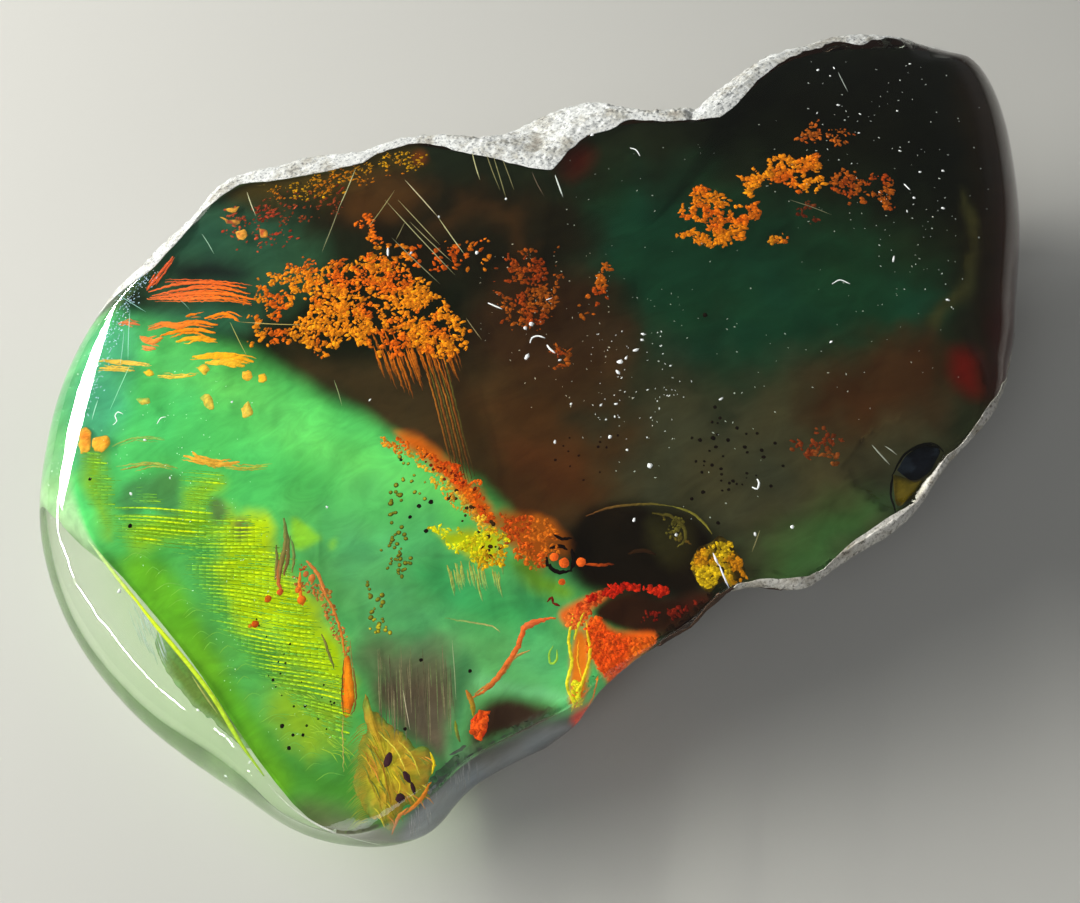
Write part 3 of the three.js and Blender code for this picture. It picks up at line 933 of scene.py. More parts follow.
def lay_strand(heap, line, width, depth, tint, end_tint=None, step=3.0, taper=0.25, flat=0.5, wobble=0.0):
    """A closed strand along a line of pixels. width is its full width in pixels."""
    run = flowing(line, step)
    run = run + dice.normal(0, 1, run.shape) * wobble
    rings = []
    for i, spot in enumerate(run):
        point, facing = inside(spot[0], spot[1], depth)
        if point is None:
            continue
        ahead = run[min(i + 1, len(run) - 1)] - run[max(i - 1, 0)]
        across, upward = tangents(facing)
        forward = across * ahead[0] - upward * ahead[1]
        side = forward.cross(facing).normalized()
        share = i / max(1, len(run) - 1)
        body_share = min(1, taper + (1 - taper) * 4 * min(share, 1 - share))
        half = 0.5 * width * PIXEL * body_share * (1 + wobble * dice.uniform(-0.3, 0.3))
        ring = []
        for k in range(STRAND_SIDES):
            around = 2 * math.pi * k / STRAND_SIDES
            outward = side * (half * math.cos(around)) + facing * (half * flat * math.sin(around))
            ring.append(point + outward)
        rings.append((ring, share))
    if len(rings) < 2:
        return
    start_tint = linear(tint)
    last_tint = start_tint if end_tint is None else linear(end_tint)
    points = [p for ring, _ in rings for p in ring]
    tints = []
    for _, share in rings:
        tints += [start_tint + (last_tint - start_tint) * share] * STRAND_SIDES
    faces = []
    for r in range(len(rings) - 1):
        for k in range(STRAND_SIDES):
            n = (k + 1) % STRAND_SIDES
            here = r * STRAND_SIDES
            faces.append((here + k, here + n, here + STRAND_SIDES + n, here + STRAND_SIDES + k))
    faces.append(tuple(reversed(range(STRAND_SIDES))))
    last = (len(rings) - 1) * STRAND_SIDES
    faces.append(tuple(range(last, last + STRAND_SIDES)))
    heap.add(points, faces, tints)


LUMP_RINGS = (0.2, 0.4, 0.58, 0.74, 0.87, 0.96, 1.0)
LUMP_FOOT = 0.15 * MM


def lay_lump(heap, outline, depth, swell, tint, edge_tint, mottle=0.0, mottle_tint=None, relief=0.25,
             seed=1, ceiling=0.12 * MM, ragged=0.7):
    """A rounded lump with a drawn outline. Its top rises by swell towards the polish, up to the ceiling."""
    rim = flowing(list(outline) + [outline[0]], 2.5)[:-1]
    rim = rim + ragged * np.stack([smoke(rim, 6, seed + 21), smoke(rim, 6, seed + 22)], axis=1) * 2
    middle = rim.mean(axis=0)
    spots = [middle]
    shares = [0.0]
    for share in LUMP_RINGS:
        spots += list(middle + (rim - middle) * share)
        shares += [share] * len(rim)
    spots = np.array(spots)
    shares = np.array(shares)
    bumps = smoke(spots, 7, seed)
    blotch = smooth_step(smoke(spots, 9, seed + 50) * 2 + 0.5)
    tints = linear(tint) + (linear(edge_tint) - linear(tint)) * smooth_step((shares - 0.5) * 2)[:, None]
    if mottle_tint is not None:
        tints = tints + (linear(mottle_tint) - tints) * (mottle * blotch)[:, None]
    points = []
    for spot, share, bump in zip(spots, shares, bumps):
        rise = swell * (math.sqrt(max(0, 1 - share ** 2)) + relief * bump * (1 - share ** 4))
        point, _ = inside(spot[0], spot[1], max(ceiling, depth - rise))
        if point is None:
            print("lump", seed, "lies past the edge at", spot)
            return
        points.append(point)
    under, _ = inside(middle[0], middle[1], depth + LUMP_FOOT)
    points.append(under)
    tints = np.vstack([tints, tints[-1:]])
    heap.add(points, disc_faces(len(rim), len(LUMP_RINGS)), tints)


# %% [markdown]
# The orange crumbs. They are tiny broken bits that hang in the resin in nets, like lichen. Each net has
# a drawn outline. Inside it, smooth noise picks thin winding bands, and grains are strewn only on those
# bands, so they join into chains with dark gaps between them.

# %% Crumb nets
Net = namedtuple("Net", "name outline grain_size density band depth tint outline_fade")

CRUMB_ORANGE = (255, 152, 22)
CRUMB_DEEP = (226, 112, 16)

nets = [
    Net("great net", [
        (238, 292), (262, 275), (290, 262), (302, 252), (330, 262), (360, 256), (372, 246), (358, 240),
        (350, 224), (357, 211), (372, 208), (377, 224), (386, 250), (410, 265), (432, 280), (452, 300),
        (466, 316), (471, 336), (468, 352), (455, 363), (440, 369), (420, 356), (392, 361), (350, 342),
        (326, 362), (300, 346), (262, 351), (245, 346), (236, 335), (246, 318)],
        1.75, 0.44, 0.24, 0.9, CRUMB_ORANGE, 9),
    Net("net core", [
        (300, 262), (372, 250), (412, 268), (445, 298), (466, 322), (466, 350), (440, 356), (404, 330),
        (350, 318), (300, 300)],
        1.55, 0.32, 0.26, 0.7, CRUMB_ORANGE, 8),
    Net("upper left flecks", [(215, 205), (300, 200), (305, 240), (250, 262), (225, 250)],
        1.5, 0.16, 0.2, 0.9, (190, 84, 50), 10),
    Net("middle flecks", [(385, 240), (440, 245), (492, 236), (495, 268), (440, 275), (390, 262)],
        1.8, 0.34, 0.24, 0.8, (236, 130, 18), 8),
    Net("faint middle net", [(500, 250), (560, 246), (566, 300), (540, 335), (505, 330), (488, 300)],
        1.6, 0.36, 0.24, 1.2, (172, 86, 20), 10),
    Net("faint right net", [(572, 320), (580, 295), (600, 262), (616, 262), (608, 296), (590, 325)],
        1.7, 0.5, 0.26, 1.1, (196, 100, 20), 8),
    Net("low middle net", [(543, 350), (556, 340), (576, 348), (575, 368), (552, 372)],
        1.6, 0.36, 0.26, 1.1, (166, 84, 22), 6),
    Net("left of the pair", [
        (690, 188), (702, 184), (732, 196), (748, 214), (748, 240), (724, 250), (690, 246), (672, 238),
        (672, 214)],
        1.8, 0.66, 0.32, 1.0, (240, 138, 18), 6),
    Net("bridge of the pair", [(735, 226), (760, 222), (764, 206), (752, 196), (744, 206)],
        1.8, 0.5, 0.3, 1.0, CRUMB_DEEP, 5),
    Net("right of the pair", [
        (738, 176), (760, 160), (782, 153), (816, 155), (830, 166), (826, 190), (808, 200), (786, 187),
        (764, 184), (752, 200), (742, 196)],
        1.9, 0.72, 0.36, 1.0, (246, 146, 20), 6),
    Net("far right net", [(820, 176), (850, 166), (896, 178), (898, 212), (864, 214), (834, 200)],
        1.7, 0.46, 0.28, 1.2, (186, 92, 20), 8),
    Net("top flecks", [(788, 142), (812, 112), (832, 118), (860, 134), (852, 158), (820, 146)],
        1.6, 0.26, 0.24, 1.2, (190, 96, 24), 8),
    Net("lone flecks", [(768, 236), (790, 230), (792, 244), (772, 246)],
        1.6, 0.6, 0.3, 1.0, (222, 138, 24), 3),
    Net("brown worms", [(788, 205), (812, 196), (822, 236), (800, 246)],
        1.6, 0.24, 0.22, 1.3, (120, 62, 30), 6),
    Net("low right patch", [(786, 440), (820, 422), (846, 438), (838, 466), (800, 462)],
        1.7, 0.34, 0.26, 1.2, (140, 76, 30), 8),
    Net("crust flecks", [(262, 190), (330, 168), (400, 146), (430, 152), (420, 172), (340, 196), (280, 204)],
        1.2, 0.34, 0.34, 0.6, (206, 150, 14), 5),
    Net("brown flecks under the rim", [(250, 200), (340, 180), (350, 210), (300, 226), (240, 226)],
        1.3, 0.2, 0.3, 0.9, (150, 66, 30), 8),
]
GRID_STEP = 2.1
CRUMB_SWELL = 1.1
CRUMB_SIZES = (0.5, 0.8, 1.0, 1.25, 1.5)


def strew_net(heap, net, number):
    """Strews the grains of one net. The number picks its own noise, so that no two nets look alike."""
    corners = np.array(net.outline, float)
    low_corner = corners.min(axis=0) - 4
    high_corner = corners.max(axis=0) + 4
    xs = np.arange(low_corner[0], high_corner[0], GRID_STEP)
    ys = np.arange(low_corner[1], high_corner[1], GRID_STEP)
    spots = np.stack(np.meshgrid(xs, ys), axis=-1).reshape(-1, 2)
    spots = spots + dice.uniform(-1.3, 1.3, spots.shape)
    depth_in = edge_distance(spots, net.outline) + smoke(spots, 12, number + 300) * 5
    vein = np.abs(smoke(spots, 12.5, number + 100))
    clump = smoke(spots, 38, number + 200)
    fade = smooth_step(depth_in / net.outline_fade)
    chosen = dice.uniform(0, 1, len(spots)) < net.density * 1.7 * fade
    keep = (vein < net.band * (0.95 + 0.7 * clump)) & chosen
    darker = 0.76 + 0.24 * smooth_step(smoke(spots, 20, number + 400) * 1.6 + 0.75)
    for spot, dark in zip(spots[keep], darker[keep]):
        size = net.grain_size * CRUMB_SWELL * dice.choice(CRUMB_SIZES)
        mixed = np.array(net.tint) * np.array((1, dark, dark)) * dice.uniform(0.8, 1.08) * (0.75 + 0.25 * dark)
        lay_form(heap, GRAIN, spot, net.depth * MM * dice.uniform(0.75, 1.15), size, np.minimum(mixed, 255),
                 squash=0.55, stretch=dice.uniform(0.9, 1.6), rough=0.35)


crumbs = Heap()
for number, net in enumerate(nets):
    before = len(crumbs.points)
    strew_net(crumbs, net, number * 3)
    print(net.name, "grains:", (len(crumbs.points) - before) // len(GRAIN[0]))

DRIPS = 46
for _ in range(DRIPS):
    x = dice.uniform(372, 452)
    y = dice.uniform(330, 358)
    length = dice.uniform(14, 42)
    lay_strand(crumbs, [(x, y), (x + length * 0.22, y + length * 0.6), (x + length * 0.35, y + length)],
               dice.uniform(1.2, 2.4), 1.0 * MM, (214, 112, 18), (96, 56, 22), wobble=0.3)

# %% [markdown]
# Streaks and blobs at the thin end. They are the same orange bits drawn out flat by the flow of the
# resin, so they are laid as strands side by side, salmon at the far edge and yellow lower down.

# %% Streaks
Streak = namedtuple("Streak", "line width tint end_tint depth")

SALMON = (232, 108, 56)
STREAK_ORANGE = (246, 134, 20)
STREAK_YELLOW = (250, 184, 40)

streaks = [
    Streak([(148, 292), (180, 284), (215, 283), (246, 288)], 2.6, SALMON, (240, 110, 30), 0.6),
    Streak([(152, 296), (185, 289), (220, 288), (250, 294)], 2.4, SALMON, (244, 116, 26), 0.6),
    Streak([(150, 298), (190, 294), (225, 294), (256, 300)], 3.0, SALMON, (250, 124, 22), 0.6),
    Streak([(147, 299), (190, 299), (228, 299), (252, 304)], 2.2, (236, 116, 60), (244, 120, 24), 0.6),
    Streak([(165, 282), (200, 282), (235, 284)], 1.8, (214, 92, 48), (230, 100, 34), 0.7),
    Streak([(147, 290), (156, 278), (166, 266), (173, 256)], 3.4, (224, 96, 48), (206, 90, 50), 0.5),
    Streak([(150, 286), (160, 274)], 2.6, (236, 108, 46), (220, 98, 50), 0.5),
    Streak([(148, 329), (165, 324), (180, 326), (196, 322), (218, 325)], 3.8, (238, 128, 56), STREAK_ORANGE,
        0.5),
    Streak([(160, 336), (180, 331), (200, 330), (216, 333)], 3.4, STREAK_ORANGE, (250, 150, 30), 0.5),
    Streak([(140, 338), (152, 341), (163, 338)], 4.0, (240, 142, 70), (244, 150, 60), 0.5),
    Streak([(176, 342), (192, 338), (216, 340)], 4.0, STREAK_YELLOW, (248, 160, 30), 0.5),
    Streak([(142, 346), (156, 349)], 3.0, (240, 150, 80), (240, 150, 80), 0.5),
    Streak([(118, 324), (128, 322), (140, 325)], 2.6, (232, 130, 76), (232, 130, 76), 0.4),
    Streak([(205, 318), (225, 314), (238, 320)], 3.2, STREAK_ORANGE, (246, 130, 24), 0.6),
    Streak([(186, 316), (197, 314)], 2.6, STREAK_ORANGE, STREAK_ORANGE, 0.6),
    Streak([(192, 357), (215, 355), (240, 358), (254, 362)], 4.2, STREAK_YELLOW, (248, 170, 26), 0.6),
    Streak([(205, 363), (225, 362), (245, 366)], 4.6, (250, 196, 60), STREAK_YELLOW, 0.6),
    Streak([(99, 361), (125, 362), (150, 364)], 2.6, (236, 190, 70), (240, 200, 90), 0.4),
    Streak([(100, 368), (122, 369), (135, 371)], 2.4, (236, 190, 70), (230, 200, 90), 0.4),
    Streak([(158, 375), (175, 377), (196, 375)], 2.2, (236, 206, 80), (230, 190, 60), 0.5),
    Streak([(184, 456), (200, 460), (222, 464), (240, 462)], 3.4, (230, 170, 60), (222, 160, 56), 0.6),
    Streak([(192, 452), (205, 462), (216, 467)], 2.6, (236, 160, 50), (206, 170, 60), 0.6),
    Streak([(222, 466), (245, 468), (268, 466)], 1.8, (200, 170, 66), (150, 180, 70), 0.6),
    Streak([(112, 446), (135, 438), (165, 440)], 1.6, (150, 176, 84), (130, 180, 90), 0.5),
    Streak([(120, 470), (150, 464), (178, 468)], 1.8, (176, 160, 70), (150, 176, 80), 0.5),
]
blobs = [
    ([(142, 371), (150, 370), (154, 374), (147, 377)], (250, 190, 50)),
    ([(196, 367), (206, 365), (210, 371), (202, 375)], (250, 196, 60)),
    ([(243, 371), (250, 370), (254, 376), (248, 381), (243, 378)], (250, 176, 40)),
    ([(257, 374), (264, 373), (266, 380), (260, 383)], (250, 176, 40)),
    ([(79, 432), (86, 428), (92, 436), (90, 450), (80, 452)], (240, 140, 46)),
    ([(92, 438), (104, 436), (110, 444), (104, 452), (94, 450)], (246, 150, 40)),
    ([(137, 399), (146, 397), (150, 401), (142, 405)], (140, 190, 90)),
    ([(200, 397), (208, 394), (214, 408), (206, 408)], (170, 186, 84)),
    ([(240, 408), (248, 402), (252, 412), (244, 418)], (196, 190, 84)),
    ([(226, 209), (234, 206), (240, 208), (232, 212)], (150, 78, 46)),
    ([(220, 218), (230, 219), (240, 222), (236, 226)], (150, 70, 46)),
    ([(236, 232), (246, 231), (246, 239), (238, 240)], (186, 84, 52)),
    ([(258, 230), (266, 230), (266, 238), (260, 238)], (180, 70, 42)),
]
streak_heap = Heap()
for streak in streaks:
    lay_strand(streak_heap, streak.line, streak.width * 1.5, streak.depth * MM, streak.tint, streak.end_tint,
               step=2.5, taper=0.35, wobble=0.3)
    for side in (-1, 1):
        line = np.array(streak.line, float) + (dice.uniform(-5, 9), side * dice.uniform(1.5, 2.6))
        middle = line.mean(axis=0)
        line = middle + (line - middle) * np.array((dice.uniform(0.6, 1.0), 0.8))
        lay_strand(streak_heap, line, streak.width * dice.uniform(0.5, 0.9), streak.depth * MM, streak.tint,
                   streak.end_tint, step=2.5, taper=0.2, wobble=0.35)
for number, (outline, tint) in enumerate(blobs):
    edge_tint = np.array(tint) * 0.6 + np.array((140, 170, 70)) * 0.4
    lay_lump(streak_heap, outline, 0.7 * MM, 0.25 * MM, tint, edge_tint, 0.6, (250, 186, 64), relief=0.6,
             seed=number, ragged=1.3)

# %% [markdown]
# The lime flow. A later pour of resin ran over the first and froze in ripples, about four pixels
# apart. The flow's yellow-green is painted on the cloud. Its ripples are real ridges: fine strands,
# with a painted highlight on the crest and a painted olive shadow line in the trough. They fade out to
# the left and end sharply on the right.

# %% Ripples of the lime flow
flow_outlines = [
    [(78, 450), (100, 452), (116, 478), (112, 506), (116, 530), (104, 520), (90, 490)],
    [(112, 512), (140, 516), (206, 504), (212, 540), (170, 550), (118, 546)],
    [(138, 493), (162, 493), (162, 503), (138, 503)],
    [(182, 479), (205, 474), (222, 480), (208, 492), (214, 506), (184, 502)],
    [(186, 540), (228, 514), (238, 526), (246, 516), (258, 522), (268, 532), (264, 556), (280, 548),
     (286, 562), (300, 600), (326, 640), (346, 690), (352, 738), (330, 728), (282, 688), (236, 648),
     (206, 604), (190, 570)],
]
RIPPLE_SPACING = 3.9
RIPPLE_HIGHLIGHT = (230, 248, 14)
RIPPLE_SHADOW = (112, 150, 14)
RIPPLE_FADE = (96, 176, 78)
FADE_LEFT = 34
FADE_RIGHT = 7
CREST_DEPTH = 0.62 * MM
TROUGH_DEPTH = 0.6 * MM
ripple_heap = Heap()


def ripple_runs(y_start, slope, outline):
    """The stretches of one ripple line that lie inside an outline."""
    xs = np.arange(80, 360, 3.5)
    ys = y_start + slope * (xs - 200) + 1.3 * np.sin(xs / 23 + y_start / 30)
    spots = np.stack([xs, ys], axis=1)
    depth_in = edge_distance(spots, outline) + 5 * smoke(spots, 14, 77)
    starts = dice.uniform(-9, 2)
    runs = []
    run = []
    for spot, depth in zip(spots, depth_in):
        if depth > starts and dice.uniform() > 0.03:
            run.append(tuple(spot))
        else:
            if len(run) > 2:
                runs.append(run)
            run = []
    if len(run) > 2:
        runs.append(run)
    return runs


def lay_ripple(run, width, depth, bright):
    """One ripple in short lengths, each tinted by how far it lies from the two ends of the run."""
    first = run[0][0]
    last = run[-1][0]
    tints = []
    for x, _ in run:
        share = min(1, (x - first) / FADE_LEFT, (last - x) / FADE_RIGHT + 0.25)
        share = max(0, share) * (0.85 + 0.15 * math.sin(x / 6 + first))
        tints.append(np.array(RIPPLE_FADE) + (np.array(bright) - np.array(RIPPLE_FADE)) * share)
    for i in range(0, len(run) - 2, 2):
        piece = run[i:i + 3]
        ends = 0.3 if i == 0 or i + 3 >= len(run) else 0.9
        lay_strand(ripple_heap, piece, width * (0.7 + 0.3 * ends), depth, tints[i],
            tints[min(i + 2, len(run) - 1)],
                   step=3.5, taper=ends, wobble=0.08)


for outline in flow_outlines:
    top = min(y for _, y in outline)
    bottom = max(y for _, y in outline)
    for row in range(-12, int((bottom - top) / RIPPLE_SPACING) + 2):
        y_start = top + row * RIPPLE_SPACING + dice.uniform(-0.5, 0.5)
        slope = 0.04 + 0.24 * min(1, max(0, (y_start - 530) / 200)) + dice.uniform(-0.012, 0.012)
        strength = dice.uniform(0.45, 1.0) if outline is not flow_outlines[-1] else dice.uniform(0.75, 1.0)
        bright = np.array(RIPPLE_FADE) + (np.array(RIPPLE_HIGHLIGHT) - np.array(RIPPLE_FADE)) * strength
        # The crest strand carries a painted highlight, and the trough strand beside it a painted shadow line.
        for run in ripple_runs(y_start, slope, outline):
            lay_ripple(run, 1.9 * strength, CREST_DEPTH, bright)
        for run in ripple_runs(y_start + 1.9, slope, outline):
            lay_ripple(run, 0.8, TROUGH_DEPTH, RIPPLE_SHADOW)

HAIRS = 150
hair_outline = [(240, 622), (300, 640), (350, 690), (356, 760), (310, 745)]
for _ in range(HAIRS):
    x = dice.uniform(262, 345)
    y = dice.uniform(640, 756)
    if edge_distance(np.array([(x, y)]), hair_outline)[0] < -4:
        continue
    reach = dice.uniform(6, 18)
    lay_strand(ripple_heap, [(x, y), (x + reach * 0.6, y + reach * dice.uniform(0.0, 0.5)),
                             (x + reach, y + reach * dice.uniform(0.2, 0.9))],
               dice.uniform(0.6, 1.1), 0.7 * MM, (176, 208, 60), (120, 176, 60), step=4)

ARCS = 26
for number in range(ARCS):
    share = number / ARCS
    x = 128 + 190 * share + dice.uniform(-6, 6)
    y = 545 + 235 * share + dice.uniform(-8, 8)
    width = dice.uniform(14, 34)
    lay_strand(ripple_heap, [(x, y + 8), (x + width * 0.45, y), (x + width, y + dice.uniform(0, 7))],
               dice.uniform(0.5, 0.9), 0.6 * MM, (136, 190, 70), (96, 170, 76), step=4)

# %% [markdown]
# Bubbles and dark grains. Gas bubbles in amber look brown with a bright middle, because each one works
# as a small lens; that bright middle is a painted highlight on the top of each drop. They hang in swarms
# in the green part. The dark grains are solid and stay dark.

# %% Bubbles and dark grains
Swarm = namedtuple("Swarm", "outline count low_size high_size tint centre")

BUBBLE_BROWN = (72, 66, 16)
BUBBLE_HIGHLIGHT = (132, 130, 34)
GRAIN_BLACK = (22, 15, 9)

drop_heap = Heap()
swarms = [
    Swarm([(386, 486), (400, 484), (404, 520), (410, 560), (404, 586), (392, 570), (384, 530)],
          30, 1.3, 2.7, BUBBLE_BROWN, BUBBLE_HIGHLIGHT),
    Swarm([(380, 538), (404, 536), (412, 562), (398, 580), (382, 566)],
          22, 1.0, 2.2, BUBBLE_BROWN, BUBBLE_HIGHLIGHT),
    Swarm([(366, 582), (376, 580), (390, 594), (386, 640), (376, 632), (366, 604)],
          15, 1.2, 2.6, (92, 82, 20), BUBBLE_HIGHLIGHT),
    Swarm([(370, 618), (392, 622), (390, 636), (370, 634)], 12, 1.2, 2.4, (120, 112, 24), (190, 178, 40)),
    Swarm([(396, 450), (430, 468), (428, 500), (404, 500)], 12, 1.2, 2.4, BUBBLE_BROWN, (170, 160, 40)),
    Swarm([(440, 476), (470, 494), (500, 520), (504, 560), (488, 556), (452, 510)],
          26, 1.0, 2.4, (50, 32, 12), (60, 40, 14)),
    Swarm([(404, 444), (440, 460), (478, 488), (470, 496), (430, 470)], 26, 0.9, 2.0, (120, 30, 8), (120, 30,
        8)),
    Swarm([(700, 405), (746, 410), (770, 440), (760, 480), (720, 520), (690, 500), (696, 440)],
          26, 0.8, 1.9, GRAIN_BLACK, None),
    Swarm([(552, 440), (620, 430), (640, 470), (600, 500), (556, 480)], 12, 0.8, 1.6, (30, 16, 8), None),
    Swarm([(250, 600), (336, 690), (330, 740), (280, 730)], 22, 0.7, 1.3, (40, 60, 14), None),
]
for swarm in swarms:
    corners = np.array(swarm.outline, float)
    found = 0
    while found < swarm.count:
        spot = dice.uniform(corners.min(axis=0), corners.max(axis=0))
        if edge_distance(spot[None], swarm.outline)[0] > 0:
            found += 1
            depth = dice.uniform(0.4, 0.75) * MM
            size = dice.uniform(swarm.low_size, swarm.high_size)
            lay_form(drop_heap, DROP, spot, depth, size, swarm.tint, squash=0.8, stretch=dice.uniform(0.9, 1.15),
                     rough=0.05, centre=swarm.centre)

BLACK_DOTS = [
    (715, 407, 1.8), (720, 418, 1.6), (712, 422, 1.5), (737, 428, 1.9), (700, 440, 2.0), (713, 438, 2.4),
    (728, 440, 2.0), (745, 447, 2.0), (775, 443, 1.7), (712, 465, 1.7), (733, 481, 1.8), (771, 486, 1.6),
    (703, 492, 2.0), (718, 523, 1.8), (692, 438, 1.6), (783, 466, 1.5), (705, 315, 2.6), (401, 460, 1.6),
    (426, 531, 2.2), (431, 502, 2.4), (419, 506, 2.2), (410, 517, 1.8), (90, 479, 1.8), (130, 526, 2.4),
    (282, 726, 2.0), (293, 735, 1.5), (303, 735, 1.5), (289, 748, 1.9), (273, 680, 1.4), (305, 706, 1.5),
    (421, 660, 1.7), (470, 671, 1.7), (405, 729, 1.6),
]
for x, y, size in BLACK_DOTS:
    lay_form(drop_heap, DROP, (x, y), 0.5 * MM, size, GRAIN_BLACK, squash=0.8, rough=0.15)

# %% [markdown]
# The dark pocket and the ember. A pocket of dark old resin lies near the lip, with an olive skin round
# it. A lump of red resin glows beside it, seen through the edge. Yellow veins run down its left side,
# and orange ones run off to the lower left. Where the pocket meets the orange there are round windows.

# %% Ember, pocket and veins
EMBER = (252, 116, 26)
RED_BEAD = (214, 44, 16)
VEIN_YELLOW = (226, 214, 44)
ember_heap = Heap()

ember_nets = [
    Net("ember grain", [
        (584, 617), (600, 617), (609, 628), (632, 633), (656, 636), (657, 643), (643, 655), (626, 669),
        (612, 684), (603, 676), (590, 659), (586, 640)],
        1.5, 0.5, 2.0, 0.5, EMBER, 5),
    Net("lobe grain", [
        (555, 617), (562, 609), (578, 600), (606, 590), (610, 595), (594, 606), (586, 618), (579, 629),
        (564, 628)],
        1.5, 0.4, 2.0, 0.5, (246, 122, 44), 4),
    Net("band grain", [
        (396, 436), (424, 446), (452, 463), (480, 482), (491, 505), (500, 524), (486, 524), (466, 502),
        (446, 482), (424, 463), (400, 450)],
        1.3, 0.5, 0.42, 0.5, (244, 116, 18), 4),
    Net("band yellow", [
        (366, 430), (400, 440), (430, 462), (470, 500), (500, 530), (490, 540), (450, 505), (410, 462),
        (372, 438)],
        1.3, 0.42, 0.5, 0.45, (240, 186, 44), 5),
    Net("corner grain", [
        (494, 508), (514, 514), (546, 516), (568, 532), (560, 552), (542, 568), (530, 576), (516, 560),
        (500, 536)],
        1.3, 0.42, 0.4, 0.6, (224, 116, 24), 6),
    Net("yellow grain", [
        (424, 524), (446, 529), (470, 530), (499, 524), (511, 541), (502, 566), (480, 569), (462, 554),
        (448, 547), (436, 535)],
        1.2, 0.5, 0.36, 0.45, (238, 232, 20), 5),
    Net("ring grain", [
        (699, 546), (710, 543), (719, 536), (730, 543), (741, 560), (747, 577), (741, 586), (729, 583),
        (722, 572), (716, 586), (708, 594), (696, 580), (691, 563)],
        1.6, 0.62, 0.5, 0.5, (214, 178, 22), 4),
    Net("beaded edge", [
        (586, 596), (607, 588), (622, 583), (640, 584), (656, 586), (674, 592), (680, 598), (656, 594),
        (630, 592), (608, 596), (590, 602)],
        1.8, 0.9, 1.0, 0.45, RED_BEAD, 3),
    Net("vein foot", [(573, 681), (581, 684), (583, 706), (573, 711), (570, 696)],
        1.5, 0.8, 1.0, 0.45, (240, 232, 40), 3),
    Net("left red blob", [(470, 720), (486, 712), (487, 729), (479, 740), (472, 734)],
        1.8, 0.95, 2.0, 0.5, (248, 92, 26), 2),
    Net("pink grain", [(570, 722), (584, 709), (601, 697), (606, 701), (592, 714), (579, 727)],
        1.4, 0.6, 1.0, 0.4, (238, 96, 62), 3),
    Net("trail grain", [
        (296, 560), (312, 562), (330, 590), (345, 626), (352, 660), (344, 664), (334, 640), (318, 606),
        (300, 590), (290, 592)],
        1.1, 0.34, 0.3, 0.6, (204, 134, 62), 5),
    Net("olive end grain", [(655, 512), (676, 514), (694, 526), (690, 544), (672, 540), (660, 526)],
        1.2, 0.4, 0.3, 0.8, (104, 96, 34), 5),
    Net("rust round the ember", [(640, 606), (688, 604), (700, 600), (690, 614), (666, 628), (640, 624)],
        1.4, 0.3, 0.4, 0.7, (120, 30, 14), 6),
]
for number, net in enumerate(ember_nets):
    strew_net(ember_heap, net, 500 + number * 3)

